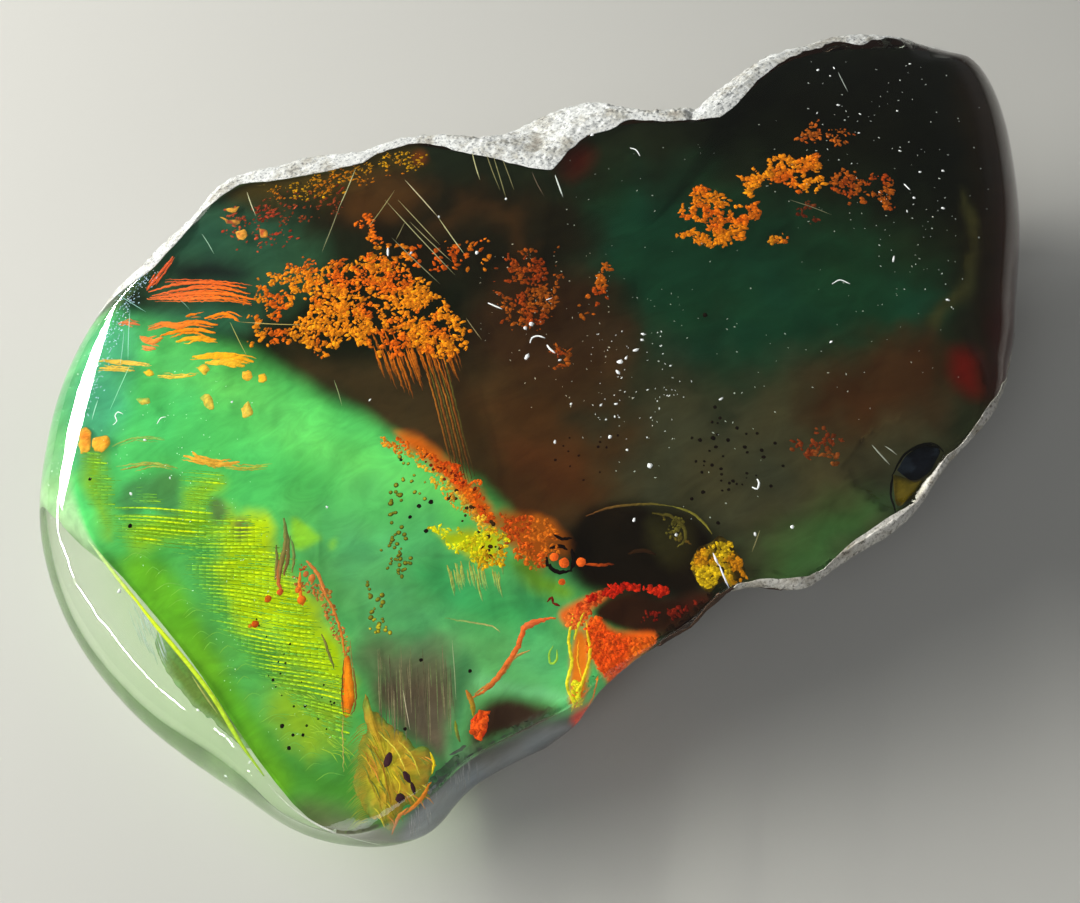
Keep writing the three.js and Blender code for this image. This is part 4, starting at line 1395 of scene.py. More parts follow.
Vein = namedtuple("Vein", "line width tint end_tint depth wobble")
veins = [
    Vein([(573, 614), (569, 640), (572, 662), (567, 684), (573, 702), (572, 712)], 3.2, VEIN_YELLOW, VEIN_YELLOW,
        0.4, 0.3),
    Vein([(586, 622), (590, 652), (586, 672), (580, 690), (579, 708)], 3.0, (232, 190, 30), VEIN_YELLOW, 0.4,
        0.3),
    Vein([(579, 640), (578, 660), (582, 680)], 2.0, (236, 150, 30), (236, 180, 40), 0.45, 0.3),
    Vein([(598, 676), (594, 694), (588, 706)], 2.4, (240, 150, 34), (244, 110, 40), 0.4, 0.3),
    Vein([(584, 612), (578, 626), (574, 640)], 2.6, (196, 190, 40), VEIN_YELLOW, 0.4, 0.3),
    Vein([(472, 698), (489, 687), (505, 666), (518, 646), (525, 628), (542, 620), (556, 618)],
         5.0, (206, 116, 50), (240, 100, 44), 0.55, 0.35),
    Vein([(474, 694), (500, 676), (514, 658), (530, 650)], 3.0, (196, 130, 60), (190, 150, 80), 0.6, 0.3),
    Vein([(466, 690), (472, 702), (474, 716)], 5.0, (180, 104, 40), (150, 140, 34), 0.6, 0.4),
    Vein([(520, 628), (530, 624), (546, 619)], 6.0, (214, 110, 60), (240, 104, 50), 0.55, 0.5),
    Vein([(444, 618), (470, 622), (492, 626), (500, 632)], 1.6, (110, 170, 90), (200, 176, 110), 0.7, 0.2),
    Vein([(553, 646), (549, 654), (551, 664), (556, 660), (557, 650)], 2.2, (150, 204, 70), (160, 206, 60), 0.6,
        0.2),
    Vein([(455, 720), (457, 732), (460, 742)], 3.0, (130, 140, 40), (90, 96, 50), 0.6, 0.3),
    Vein([(586, 516), (612, 507), (648, 504), (672, 506)], 2.4, (112, 68, 34), (104, 100, 40), 0.6, 0.15),
    Vein([(672, 506), (690, 512), (704, 523), (712, 534)], 2.4, (116, 112, 44), (132, 124, 44), 0.6, 0.15),
    Vein([(652, 513), (670, 516), (683, 526), (685, 540), (677, 547)], 3.4, (84, 74, 28), (98, 90, 34), 0.8,
        0.3),
    Vein([(628, 554), (642, 550), (656, 554)], 4.0, (50, 30, 14), (46, 28, 14), 0.8, 0.4),
    Vein([(553, 534), (562, 539), (572, 538)], 3.2, (20, 12, 8), (20, 12, 8), 0.5, 0.3),
    Vein([(549, 548), (560, 546), (568, 550)], 4.0, (18, 11, 8), (18, 11, 8), 0.5, 0.4),
    Vein([(546, 556), (549, 566), (560, 572), (572, 571)], 4.0, (18, 11, 8), (18, 11, 8), 0.5, 0.4),
    Vein([(572, 548), (574, 560), (571, 570)], 4.4, (18, 11, 8), (18, 11, 8), 0.5, 0.4),
    Vein([(584, 564), (596, 565), (614, 564)], 3.0, (196, 76, 18), (110, 44, 14), 0.45, 0.25),
    Vein([(547, 602), (552, 597), (553, 604)], 2.8, (110, 14, 12), (110, 14, 12), 0.45, 0.3),
    Vein([(553, 603), (560, 606)], 3.2, (104, 12, 10), (104, 12, 10), 0.45, 0.2),
]
for vein in veins:
    lay_strand(ember_heap, vein.line, vein.width, vein.depth * MM, vein.tint, vein.end_tint,
               step=2.5, taper=0.3, wobble=vein.wobble)

for x, y, radius in ((554, 557, 4.2), (564, 563, 5.0), (581, 562, 4.6), (562, 582, 3.2)):
    lay_form(ember_heap, DROP, (x, y), 0.42 * MM, radius, (240, 100, 30), squash=0.5, rough=0.08)
lay_form(drop_heap, DROP, (564, 563), 0.3 * MM, 1.8, (60, 20, 10), squash=0.5, rough=0.1)

FADING_STREAKS = 34
for _ in range(FADING_STREAKS):
    x = dice.uniform(446, 502)
    y = dice.uniform(560, 574)
    length = dice.uniform(10, 28)
    lay_strand(ember_heap, [(x, y), (x + 2, y + length * 0.5), (x + length * 0.2, y + length)],
               dice.uniform(1.0, 2.2), 0.7 * MM, (176, 170, 70), (110, 170, 96), step=3.5, wobble=0.2)

BUNDLE = 8
BUNDLE_TINTS = ((186, 110, 34), (112, 108, 44), (160, 88, 30), (96, 92, 40))
for number in range(BUNDLE):
    share = number / (BUNDLE - 1)
    x = 424 + 20 * share
    y = 352 + dice.uniform(0, 16)
    tint = BUNDLE_TINTS[number % len(BUNDLE_TINTS)]
    lay_strand(ember_heap, [(x, y), (x + 11, 400), (x + 21, 440), (x + 31, 478 + dice.uniform(-8, 8))],
               dice.uniform(1.2, 2.4), dice.uniform(0.9, 1.3) * MM, tint, (70, 48, 24), step=4, wobble=0.2)

VEIL_LINES = 60
VEIL_TINTS = ((132, 122, 92), (92, 84, 64), (112, 122, 80))
for _ in range(VEIL_LINES):
    x = dice.uniform(376, 453)
    y = dice.uniform(645, 700)
    length = dice.uniform(20, 70)
    tint = VEIL_TINTS[int(dice.integers(len(VEIL_TINTS)))]
    lay_strand(ember_heap, [(x, y), (x + 1, y + length * 0.5), (x + 2, y + length)],
               dice.uniform(0.5, 1.1), dice.uniform(0.8, 1.2) * MM, tint, tint, step=8)

# Grey streaks in the painted reflection of the front wall.
WALL_REFLECTION_LINES = 44
for _ in range(WALL_REFLECTION_LINES):
    x = dice.uniform(408, 480)
    y = 842 - (x - 408) * 0.9 - dice.uniform(8, 30)
    length = dice.uniform(8, 24)
    lay_strand(ember_heap, [(x, y), (x + 1, y + length * 0.5), (x + 2, y + length)],
               dice.uniform(0.5, 1.0), 0.5 * MM, (158, 160, 158), (120, 122, 122), step=6)

# %% [markdown]
# Lumps. The honey lump at the front is a fold of yellow resin with dark holes and an orange rim.
# The ring lump beside the pocket is a crumbly yellow clot. The slug and the fingers are runs of the
# same orange, caught as they dripped into the lime flow. The facets lie in the chip of the lip: the upper
# one is a painted reflection of the dark room, and the lower one is olive gold.

# %% Lumps, fingers and the chip
lump_heap = Heap()
HONEY = (186, 172, 40)
HONEY_EDGE = (118, 142, 56)
honey_outline = [
    (366, 694), (373, 710), (389, 722), (408, 737), (416, 748), (425, 747), (432, 756), (433, 768),
    (429, 783), (428, 797), (417, 808), (408, 805), (402, 808), (397, 821), (389, 836), (382, 822),
    (370, 818), (361, 802), (354, 785), (357, 764), (358, 745), (366, 730), (363, 708)]
lay_lump(lump_heap, honey_outline, 1.2 * MM, 0.6 * MM, HONEY, HONEY_EDGE, 0.6, (196, 140, 44), relief=0.7,
         seed=11, ragged=1.4)
HONEY_STREAKS = 90
HONEY_TINTS = ((214, 198, 60), (150, 136, 34), (204, 168, 44), (124, 134, 50), (206, 140, 54))
for _ in range(HONEY_STREAKS):
    x, y = dice.uniform((360, 716), (428, 820))
    if edge_distance(np.array([(x, y)]), honey_outline)[0] < 3:
        continue
    fall = 0.6 + 0.8 * (432 - x) / 70
    reach = dice.uniform(6, 18)
    tint = HONEY_TINTS[int(dice.integers(len(HONEY_TINTS)))]
    line = [(x, y), (x + reach * 0.45, y + reach * 0.35 * fall), (x + reach * 0.8, y + reach * fall)]
    width = dice.uniform(0.7, 1.7)
    lay_strand(lump_heap, line, width, dice.uniform(0.44, 0.6) * MM, tint, tint, step=3.5, taper=0.2, wobble=0.1)
lay_lump(lump_heap, [
    (699, 546), (710, 543), (719, 536), (730, 543), (741, 560), (747, 577), (741, 586), (729, 583),
    (716, 586), (708, 594), (696, 580), (691, 563)],
    1.1 * MM, 0.5 * MM, (150, 124, 22), (84, 70, 20), 0.9, (40, 28, 12), relief=0.5, seed=12)
lay_lump(lump_heap, [(344, 659), (349, 656), (352, 672), (354, 700), (349, 716), (343, 715), (342, 690)],
         0.8 * MM, 0.3 * MM, (244, 124, 16), (206, 96, 24), 0.4, (250, 160, 30), seed=13)
lay_lump(lump_heap, [(470, 720), (478, 713), (486, 712), (487, 729), (480, 740), (473, 735)],
         0.9 * MM, 0.3 * MM, (246, 70, 20), (206, 50, 20), 0.4, (250, 100, 40), seed=14)
lay_lump(lump_heap, [
    (158, 630), (172, 642), (200, 678), (226, 712), (252, 747), (240, 744), (214, 722), (188, 700),
    (168, 674), (156, 648)],
    1.6 * MM, 0.3 * MM, (98, 138, 64), (140, 178, 124), 0.35, (112, 112, 52), seed=15)
honey_lines = [
    ([(404, 815), (420, 800), (430, 782)], 3.2, (214, 128, 40)),
    ([(392, 834), (398, 818), (408, 808)], 3.0, (206, 130, 60)),
    ([(430, 752), (434, 762), (432, 774)], 2.6, (216, 190, 30)),
    ([(368, 740), (380, 760), (388, 790), (392, 812)], 1.6, (150, 118, 30)),
    ([(378, 732), (396, 750), (406, 772)], 1.4, (214, 200, 70)),
    ([(364, 770), (374, 790), (384, 815)], 1.6, (160, 140, 40)),
    ([(398, 740), (412, 756), (420, 776)], 1.4, (206, 190, 60)),
    ([(392, 772), (400, 784), (398, 794)], 1.8, (216, 190, 40)),
]
for line, width, tint in honey_lines:
    lay_strand(lump_heap, line, width, 0.42 * MM, tint, tint, step=3, taper=0.3, wobble=0.25)
FAN_LINES = 46
for number in range(FAN_LINES):
    share = number / FAN_LINES
    y = 722 + 100 * share
    reach = dice.uniform(8, 20)
    lay_strand(lump_heap, [(368, y), (366 - reach * 0.5, y + reach * 0.3), (364 - reach, y + reach * 0.9)],
               dice.uniform(0.6, 1.2), 0.7 * MM, (166, 156, 44), (98, 140, 60), step=4)
for x, y, size, stretch, turn in (
        (388, 760, 4.8, 1.35, 1.3), (407, 777, 3.8, 1.5, -1.0), (413, 788, 3.2, 1.7, -1.2),
        (400, 798, 4.0, 1.1, 0.6)):
    lay_form(drop_heap, DROP, (x, y), 0.36 * MM, size, (58, 34, 40), squash=0.4, stretch=stretch, turn=turn,
             rough=0.12)

fingers = [
    ([(284, 518), (286, 540), (282, 560), (278, 584)], 5.0, (104, 124, 64), (150, 110, 60)),
    ([(287, 530), (288, 556), (284, 576)], 4.0, (106, 110, 62), (140, 100, 56)),
    ([(290, 536), (294, 556), (292, 572)], 3.0, (98, 140, 74), (130, 120, 60)),
    ([(276, 545), (277, 562), (275, 580)], 3.0, (110, 120, 60), (140, 110, 60)),
    ([(279, 560), (278, 580), (282, 592)], 4.0, (150, 104, 56), (200, 100, 50)),
    ([(300, 572), (300, 588), (303, 606)], 3.4, (236, 130, 40), (236, 120, 40)),
    ([(306, 560), (318, 574), (326, 596)], 3.6, (200, 120, 60), (214, 124, 60)),
    ([(318, 584), (332, 606), (341, 632), (345, 656)], 2.6, (196, 120, 56), (216, 120, 40)),
    ([(322, 634), (328, 650), (334, 668)], 2.6, (130, 120, 60), (110, 120, 50)),
    ([(343, 716), (343, 748), (344, 772)], 1.0, (206, 170, 90), (170, 170, 90)),
    ([(350, 640), (353, 670), (357, 700)], 1.2, (150, 130, 70), (120, 120, 60)),
    ([(344, 660), (342, 690), (343, 714)], 1.4, (120, 74, 30), (120, 74, 30)),
    ([(354, 668), (356, 700), (351, 716)], 1.6, (130, 90, 40), (120, 84, 40)),
]
for line, width, tint, end_tint in fingers:
    lay_strand(lump_heap, line, width, 0.5 * MM, tint, end_tint, step=3, taper=0.4, wobble=0.35)
for x, y, size, tint in (
        (268, 599, 3.6, (206, 96, 24)), (255, 624, 3.6, (206, 84, 20)), (280, 592, 3.4, (216, 96, 40)),
        (302, 600, 4.4, (240, 120, 30)), (298, 590, 3.0, (236, 120, 40)), (312, 578, 3.6, (214, 126, 60)),
        (250, 626, 2.0, (196, 120, 30)), (306, 574, 3.0, (206, 120, 60))):
    lay_form(lump_heap, DROP, (x, y), 0.5 * MM, size, tint, squash=0.6, rough=0.12)

CHIP_FACET_DEPTH = 0.3 * MM
# The upper facet is a painted reflection, near black and blue as the dark room it mirrors; the lower facet is
# olive gold.
chip_facets_and_reflection = [
    ([(897, 470), (905, 457), (916, 449), (930, 446), (940, 450), (935, 463), (926, 475), (911, 480)],
     (12, 15, 20), (7, 9, 10), (34, 42, 50)),
    ([(893, 475), (903, 477), (913, 482), (922, 480), (917, 489), (909, 498), (900, 506), (895, 500)],
     (76, 66, 16), (44, 40, 14), (104, 88, 22)),
]
for number, (outline, tint, edge_tint, mottle_tint) in enumerate(chip_facets_and_reflection):
    lay_lump(lump_heap, outline, CHIP_FACET_DEPTH, 0.1 * MM, tint, edge_tint, 0.5, mottle_tint,
             seed=16 + number, ragged=0.3)
chip_lines = [
    [(892, 476), (903, 456), (918, 446), (934, 444), (944, 452)], [(893, 474), (891, 494), (896, 514)],
    [(896, 514), (914, 515), (930, 508), (938, 498)], [(908, 452), (924, 445), (940, 448)],
]
for line in chip_lines:
    lay_strand(lump_heap, line, 2.6, 0.1 * MM, (10, 10, 8), (12, 12, 8), step=3, taper=0.4, wobble=0.2)

# %% [markdown]
# The ridge. Where the window turns over into the flank, the light runs along inside the edge and draws
# a thin line: blue-white above, and yellow-lime further down. These lines are painted highlights, laid as
# strands. The pale line along the front edge is a painted highlight too, and the pale hatches on the
# flank are painted reflections.

# %% Line along the ridge
# Painted highlights: the lime line and the blue-white line along the ridge.
RIDGE_HIGHLIGHT_LIME = (222, 240, 44)
lay_strand(ripple_heap, [(124, 584), (150, 618), (190, 666), (215, 700), (240, 742), (264, 776)],
           4.4, 0.14 * MM, RIDGE_HIGHLIGHT_LIME, (160, 200, 60), step=4, taper=0.3)
lay_strand(ripple_heap, [(88, 540), (104, 560), (124, 586), (140, 606)], 3.4, 0.14 * MM, (190, 226, 170),
           RIDGE_HIGHLIGHT_LIME, step=4, taper=0.2)
lay_strand(ripple_heap, [(192, 676), (204, 694), (218, 714)], 1.6, 0.3 * MM, (176, 176, 96), (150, 160, 90),
    step=4)
# Painted highlight: a pale line along the front edge.
lay_strand(ripple_heap, [(268, 784), (290, 806), (320, 826), (352, 838), (384, 846)], 1.8, 0.15 * MM,
           (200, 206, 190), (214, 216, 206), step=4)
# Painted reflections: pale hatches on the lower flank.
REFLECTION_HATCHES = 30
for _ in range(REFLECTION_HATCHES):
    x = dice.uniform(128, 160)
    y = 592 + (x - 128) * 1.2 + dice.uniform(-4, 26)
    lay_strand(ripple_heap, [(x, y), (x + 3, y + 9), (x + 8, y + dice.uniform(16, 26))],
               dice.uniform(0.6, 1.0), 0.3 * MM, (196, 210, 204), (150, 176, 160), step=5)

# %% [markdown]
# Dust and scratches. The polish has been handled: it carries straight scratches along the far rim, a
# bright scratch over the ring lump, and dust that gathers on the right half. They lie on the surface,
# so each is a flattened fibre or grain that just breaks the polish.

# %% Dust and scratches
SCRATCH_LIGHT = (168, 168, 118)
DUST_WHITE = (236, 240, 238)
DUST_GLOW = 0.25
PROUD = -0.02 * MM
dust_heap = Heap()
scratches = [
    ((356, 168), (338, 210), 1.3, SCRATCH_LIGHT), ((340, 206), (322, 252), 1.1, (130, 130, 90)),
    ((405, 180), (438, 217), 1.3, (176, 170, 130)), ((438, 217), (465, 255), 1.2, SCRATCH_LIGHT),
    ((385, 200), (455, 275), 1.1, (140, 140, 96)), ((398, 200), (440, 245), 1.0, (140, 136, 90)),
    ((410, 222), (452, 262), 1.0, (136, 132, 90)), ((392, 238), (440, 284), 1.0, (120, 120, 84)),
    ((395, 190), (368, 228), 1.1, (140, 136, 84)), ((405, 222), (396, 240), 0.9, (130, 124, 80)),
    ((472, 152), (480, 180), 1.3, SCRATCH_LIGHT), ((486, 153), (500, 190), 1.0, (120, 116, 70)),
    ((493, 155), (506, 198), 1.1, (120, 118, 72)), ((502, 158), (514, 190), 1.0, (116, 112, 70)),
    ((532, 172), (544, 196), 0.9, (96, 80, 60)), ((555, 175), (563, 197), 1.7, (196, 206, 196)),
    ((713, 553), (719, 566), 2.6, (226, 228, 244)), ((719, 564), (729, 588), 1.7, (226, 232, 250)),
    ((872, 445), (890, 465), 1.4, (170, 176, 160)), ((885, 446), (897, 455), 1.2, (180, 186, 170)),
    ((790, 200), (832, 215), 0.9, (110, 110, 80)), ((838, 72), (848, 92), 1.2, (140, 150, 140)),
    ((247, 192), (256, 216), 1.2, (180, 180, 140)), ((202, 234), (214, 254), 0.9, (140, 176, 150)),
    ((240, 322), (304, 325), 1.0, (170, 150, 80)), ((230, 322), (248, 358), 0.9, (150, 150, 70)),
    ((334, 380), (342, 406), 0.9, (120, 140, 90)), ((466, 318), (482, 340), 0.9, (130, 120, 80)),
    ((130, 310), (128, 360), 1.0, (150, 210, 190)), ((124, 330), (120, 366), 0.8, (150, 206, 186)),
    ((130, 365), (110, 410), 0.9, (150, 220, 180)), ((98, 400), (92, 420), 1.0, (180, 230, 206)),
    ((110, 290), (146, 312), 0.8, (130, 180, 170)), ((180, 300), (190, 310), 0.8, (110, 150, 130)),
    ((403, 690), (410, 730), 0.8, (170, 160, 130)), ((452, 640), (456, 700), 0.7, (140, 150, 110)),
    ((760, 530), (752, 552), 1.1, (116, 110, 66)), ((820, 585), (850, 545), 0.9, (150, 160, 60)),
]
for start, end, width, tint in scratches:
    middle = (np.array(start) + end) / 2 + dice.uniform(-0.6, 0.6, 2)
    lay_strand(dust_heap, [start, tuple(middle), end], width, PROUD, tint, step=5, taper=0.15, flat=0.35)

fibres = [
    ([(530, 343), (532, 338), (538, 336), (545, 338)], 1.9), ([(547, 345), (550, 349), (555, 353)], 2.2),
    ([(488, 303), (495, 306), (502, 309)], 1.8), ([(752, 487), (757, 489), (759, 483), (757, 479)], 2.0),
    ([(113, 425), (117, 421), (115, 416), (118, 412), (123, 414)], 1.3), ([(157, 424), (161, 418), (166, 417)],
        1.2),
    ([(832, 284), (840, 280), (850, 284)], 1.4), ([(893, 262), (894, 256)], 2.4), ([(904, 184), (910, 190)],
        1.6),
    ([(630, 148), (636, 150), (640, 156)], 1.5), ([(388, 248), (388, 256)], 2.6), ([(546, 300), (552, 298)],
        1.2),
]
for line, width in fibres:
    lay_strand(dust_heap, line, width, PROUD, DUST_WHITE, DUST_WHITE, step=2, taper=0.5, flat=0.6)

dust_grains = [
    (411, 253, 1.8), (477, 253, 2.6), (439, 217, 1.6), (506, 199, 1.5), (527, 357, 2.6), (650, 466, 2.6),
    (721, 399, 1.8), (601, 405, 1.4), (634, 520, 1.7), (676, 535, 1.6), (555, 442, 1.7), (642, 340, 1.8),
    (620, 362, 3.0), (618, 372, 2.2), (626, 358, 1.8), (636, 350, 2.2), (643, 334, 1.8), (560, 360, 1.6),
    (525, 328, 2.2), (531, 324, 2.6), (610, 437, 1.8), (627, 450, 1.3), (616, 404, 1.6), (571, 404, 1.3),
    (818, 70, 1.8), (834, 68, 1.4), (830, 76, 1.2), (910, 64, 1.5), (838, 105, 1.7), (817, 113, 1.3),
    (860, 114, 1.4), (897, 111, 1.5), (859, 133, 1.3), (900, 151, 1.4), (920, 172, 1.6), (943, 171, 1.5),
    (914, 198, 1.5), (907, 211, 1.3), (943, 208, 1.7), (948, 300, 1.6), (831, 342, 1.5), (592, 135, 2.0),
    (792, 527, 1.9), (755, 534, 1.6), (119, 591, 2.4), (226, 776, 1.5), (250, 762, 1.4), (198, 710, 1.3),
    (131, 494, 1.8), (145, 440, 1.5), (170, 478, 1.3), (327, 507, 1.4), (232, 402, 1.5), (370, 400, 1.3),
]
for x, y, size in dust_grains:
    lay_form(dust_heap, GRAIN, (x, y), PROUD, size, DUST_WHITE, squash=0.35, stretch=dice.uniform(1.0, 1.5),
        rough=0.35)

DustField = namedtuple("DustField", "count outline low_size high_size tint")
fields = [
    DustField(84, [(590, 330), (660, 330), (700, 380), (680, 440), (620, 440), (580, 400)], 0.45, 1.1,
        DUST_WHITE),
    DustField(140, [(800, 60), (980, 60), (990, 200), (960, 320), (880, 280), (820, 180)], 0.4, 1.0, (206, 214,
        206)),
    DustField(240, [(560, 160), (780, 120), (960, 180), (960, 380), (700, 540), (560, 440)], 0.35, 0.85, (176,
        184, 170)),
    DustField(90, [(480, 240), (600, 250), (640, 400), (540, 420), (480, 340)], 0.35, 0.9, (190, 186, 160)),
    DustField(150, [(80, 380), (250, 360), (300, 600), (200, 620), (90, 520)], 0.3, 0.75, (186, 226, 196)),
    DustField(130, [(52, 400), (100, 300), (170, 250), (150, 290), (96, 370), (70, 470)], 0.4, 0.9, (226, 232,
        226)),
    DustField(110, [(200, 610), (260, 640), (340, 740), (300, 770), (230, 700)], 0.3, 0.7, (170, 210, 160)),
    DustField(60, [(40, 420), (66, 380), (60, 520), (90, 600), (60, 600)], 0.35, 0.8, (220, 230, 220)),
]
for field in fields:
    corners = np.array(field.outline, float)
    for _ in range(field.count):
        spot = dice.uniform(corners.min(axis=0), corners.max(axis=0))
        if edge_distance(spot[None], field.outline)[0] > 0:
            size = field.low_size + (field.high_size - field.low_size) * dice.uniform(0, 1) ** 2.5
            lay_form(dust_heap, GRAIN, spot, PROUD * 0.5, size, field.tint, squash=0.35,
                     stretch=dice.uniform(1.0, 1.8), rough=0.35)

# Pale blue grains along the upper ridge: dust on the polish, and a painted halo round the ridge highlight.
HAZE_AND_HALO = 260
for _ in range(HAZE_AND_HALO):
    share = dice.uniform(0, 1)
    x = 150 - 72 * share + dice.normal(0, 5)
    y = 272 + 150 * share ** 1.3 + dice.normal(0, 4)
    lay_form(dust_heap, GRAIN, (x, y), PROUD * 0.5, dice.uniform(0.4, 1.0), (176, 206, 226), squash=0.35,
             stretch=dice.uniform(1.0, 2.2), rough=0.3)

# %% [markdown]
# The heaps become pieces here, each with its finish. What hangs in the resin has the same soft glow as
# the cloud, or it would look like painted plastic. Dust is dull and pale, with a little light of its
# own, because each grain catches more light than so small a mesh can.

# %% Put the heaps in the resin
def dust_finish():
    finish, nodes, links, shader = new_finish("pale_dust", {"Emission Strength": DUST_GLOW, "Roughness": 0.8})
    colour = nodes.new("ShaderNodeAttribute")
    colour.attribute_name = "paint"
    links.new(colour.outputs["Color"], shader.inputs["Base Color"])
    links.new(colour.outputs["Color"], shader.inputs["Emission Color"])
    grain = object_noise(nodes, links, 5200, 3)
    bump_from(nodes, links, grain.outputs["Fac"], shader, 0.5, 0.03 * MM)
    return finish


fleck_glow = glow_finish("orange_crumbs", 2600, 0.35)
flow_glow = glow_finish("lime_ripples", 2600, 0.2)
crumbs.make("crumb_nets", fleck_glow)
streak_heap.make("flow_streaks", fleck_glow)
ripple_heap.make("lime_ripples", flow_glow)
ember_heap.make("ember_and_veins", fleck_glow)
lump_heap.make("resin_lumps", flow_glow)
drop_heap.make("bubbles", glow_finish("bubbles", 1800, 0.15))
dust_heap.make("dust", dust_finish())

# %% [markdown]
# The rim and the underside. Where raw amber broke, it is frosted white; where it lay in the ground, it
# has a dark, pitted rind. Both are thin skins on the resin, so each is made from the body's own faces:
# the faces of its region are copied, cut finer, pushed out by grainy noise and closed behind. First,
# each point of the body is measured: its angle, its height below the rim and where it shows.

# %% Regions of the outside
HEART = np.array((-8.9, -8.2)) * MM
ANGLE_BINS = 360
facings = vertex_facings(body.data)
from_heart = places[:, :2] - HEART
reach_of = np.hypot(from_heart[:, 0], from_heart[:, 1])
angle_of = np.degrees(np.arctan2(from_heart[:, 1], from_heart[:, 0]))
bins = np.floor(angle_of).astype(int) % ANGLE_BINS
outline_reach = np.zeros(ANGLE_BINS)
np.maximum.at(outline_reach, bins, reach_of)
edge_gap = outline_reach[bins] - reach_of
waist_height = np.zeros(ANGLE_BINS)
widest = edge_gap < 0.3 * MM
np.maximum.at(waist_height, bins[widest], places[widest, 2])

to_eye = np.array(eye) - places
to_eye /= np.linalg.norm(to_eye, axis=1)[:, None]
faces_eye = (facings * to_eye).sum(axis=1) > 0.02


def picture_spots(points):
    """Where surface points show in the photograph, in pixels."""
    offset = points - np.array(eye)
    ahead = -(offset @ np.array(to_camera))
    return np.stack([
        PICTURE_WIDTH / 2 + PIXELS_PER_UNIT * (offset @ np.array(camera_right)) / ahead,
        PICTURE_HEIGHT / 2 - PIXELS_PER_UNIT * (offset @ np.array(camera_up)) / ahead,
    ], axis=1)


def grainy(points, size, layers=3):
    """Solid noise at points in space, from about -1 to 1."""
    return np.array([solid_noise.fractal(Vector(p) / size, 0.9, 2.0, layers) for p in points])


def between(value, low_end, high_end, soft):
    """1 between two ends and 0 outside, with soft ends."""
    return smooth_step((value - low_end) / soft) * smooth_step((high_end - value) / soft)


body_spots = picture_spots(places)
past_window = np.where(faces_eye, -edge_distance(body_spots, window_edge), 12.0)
rough_noise = grainy(places, 3 * MM)
drop_below = waist_height[bins] - places[:, 2]

# %% [markdown]
# One helper makes all the skins. The points just outside a region are drawn in onto its border, so that
# the edge of a skin is a clean curve and not a row of square teeth. The skin stays level where the
# piece rests, as a worn flat would be.

# %% Skins
SKIN_LIFT = 0.015 * MM
SKIN_THICKNESS = 0.10 * MM
WORN_FLAT = -0.02 * MM

BORDER_WIDTH = 5
FINE_BORDER_WIDTH = 2.5

Skin = namedtuple("Skin", "name slot region cuts relief grain fade_in")


def border_edges(shape, strength, width):
    return [e for e in shape.edges if min(abs(v[strength]) for v in e.verts) < width]


def draw_in(shape, strength):
    """Moves the points outside a region onto its border, along the lines to their neighbours inside."""
    shape.verts.index_update()
    moved = []
    for vert in shape.verts:
        here = vert[strength]
        if here < 0:
            inner = {v for f in vert.link_faces for v in f.verts if v[strength] > 0}
            inner = sorted(inner, key=lambda v: v.index)
            crossings = [vert.co.lerp(v.co, here / (here - v[strength])) for v in inner]
            moved.append((vert, sum(crossings, Vector()) / len(crossings)))
    for vert, place in moved:
        vert.co = place


def skin_piece(skin, finish):
    """A closed skin over the faces whose region value is above zero."""
    shape = bmesh.new()
    shape.from_mesh(body.data)
    shape.verts.ensure_lookup_table()
    strength = shape.verts.layers.float.new("strength")
    for vert, value in zip(shape.verts, skin.region):
        vert[strength] = float(value)
    outside = [f for f in shape.faces if max(v[strength] for v in f.verts) <= 0]
    bmesh.ops.delete(shape, geom=outside, context="FACES")
    cut_here = shape.edges if skin.cuts else border_edges(shape, strength, BORDER_WIDTH)
    bmesh.ops.subdivide_edges(shape, edges=cut_here, cuts=skin.cuts or 2, use_grid_fill=True)
    if skin.cuts == 1:
        fine_border = border_edges(shape, strength, FINE_BORDER_WIDTH)
        bmesh.ops.subdivide_edges(shape, edges=fine_border, cuts=1, use_grid_fill=True)
    beyond = [f for f in shape.faces if max(v[strength] for v in f.verts) <= 0]
    bmesh.ops.delete(shape, geom=beyond, context="FACES")
    draw_in(shape, strength)
    for vert in shape.verts:
        fade = min(1, max(0, vert[strength] / skin.fade_in))
        coarse = solid_noise.fractal(vert.co / (skin.grain * 3), 0.9, 2.0, 3)
        fine = solid_noise.noise(vert.co / skin.grain)
        vert.co += vert.normal * (SKIN_LIFT + skin.relief * fade * (0.5 + 0.5 * coarse + 0.4 * fine))
        vert.co.z = max(vert.co.z, WORN_FLAT)
    mesh = bpy.data.meshes.new(skin.name)
    shape.to_mesh(mesh)
    shape.free()
    piece = new_object(skin.name, mesh)
    closing = piece.modifiers.new("closing", "SOLIDIFY")
    closing.thickness = SKIN_THICKNESS
    closing.offset = -1
    graph = bpy.context.evaluated_depsgraph_get()
    piece.data = bpy.data.meshes.new_from_object(piece.evaluated_get(graph))
    piece.modifiers.clear()
    piece.data.shade_smooth()
    piece.data.materials.clear()
    piece.data.materials.append(finish)
    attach(piece, "root")
    print(skin.name, "triangles:", sum(len(f.vertices) - 2 for f in piece.data.polygons))
    return piece


# %% [markdown]
# Where each skin lies. The angles go round the piece from its middle. The white crust takes the far
# side, from the window's edge down to about five millimetres. The lip crust takes the near side and is
# narrower. The rind takes the underside and the walls, and leaves the clear flank and the shoulder bare.

# %% Regions of the skins
FAR_SIDE = (16, 134)
NEAR_SIDE = (-84, -20)
CLEAR_FLANK = (128, 262)
BARE_SHOULDER = (296, 400)
CLEAR_WIDTH = 15 * MM

far_side = between(angle_of + 5 * rough_noise, *FAR_SIDE, 12)
crust_depth = (5.5 + 2.0 * rough_noise) * MM
far_region = np.minimum(past_window + 2.5 * rough_noise, (crust_depth - drop_below) / PIXEL)
far_region = np.where(far_side > 0.05, far_region, -5) - (1 - far_side) * 14

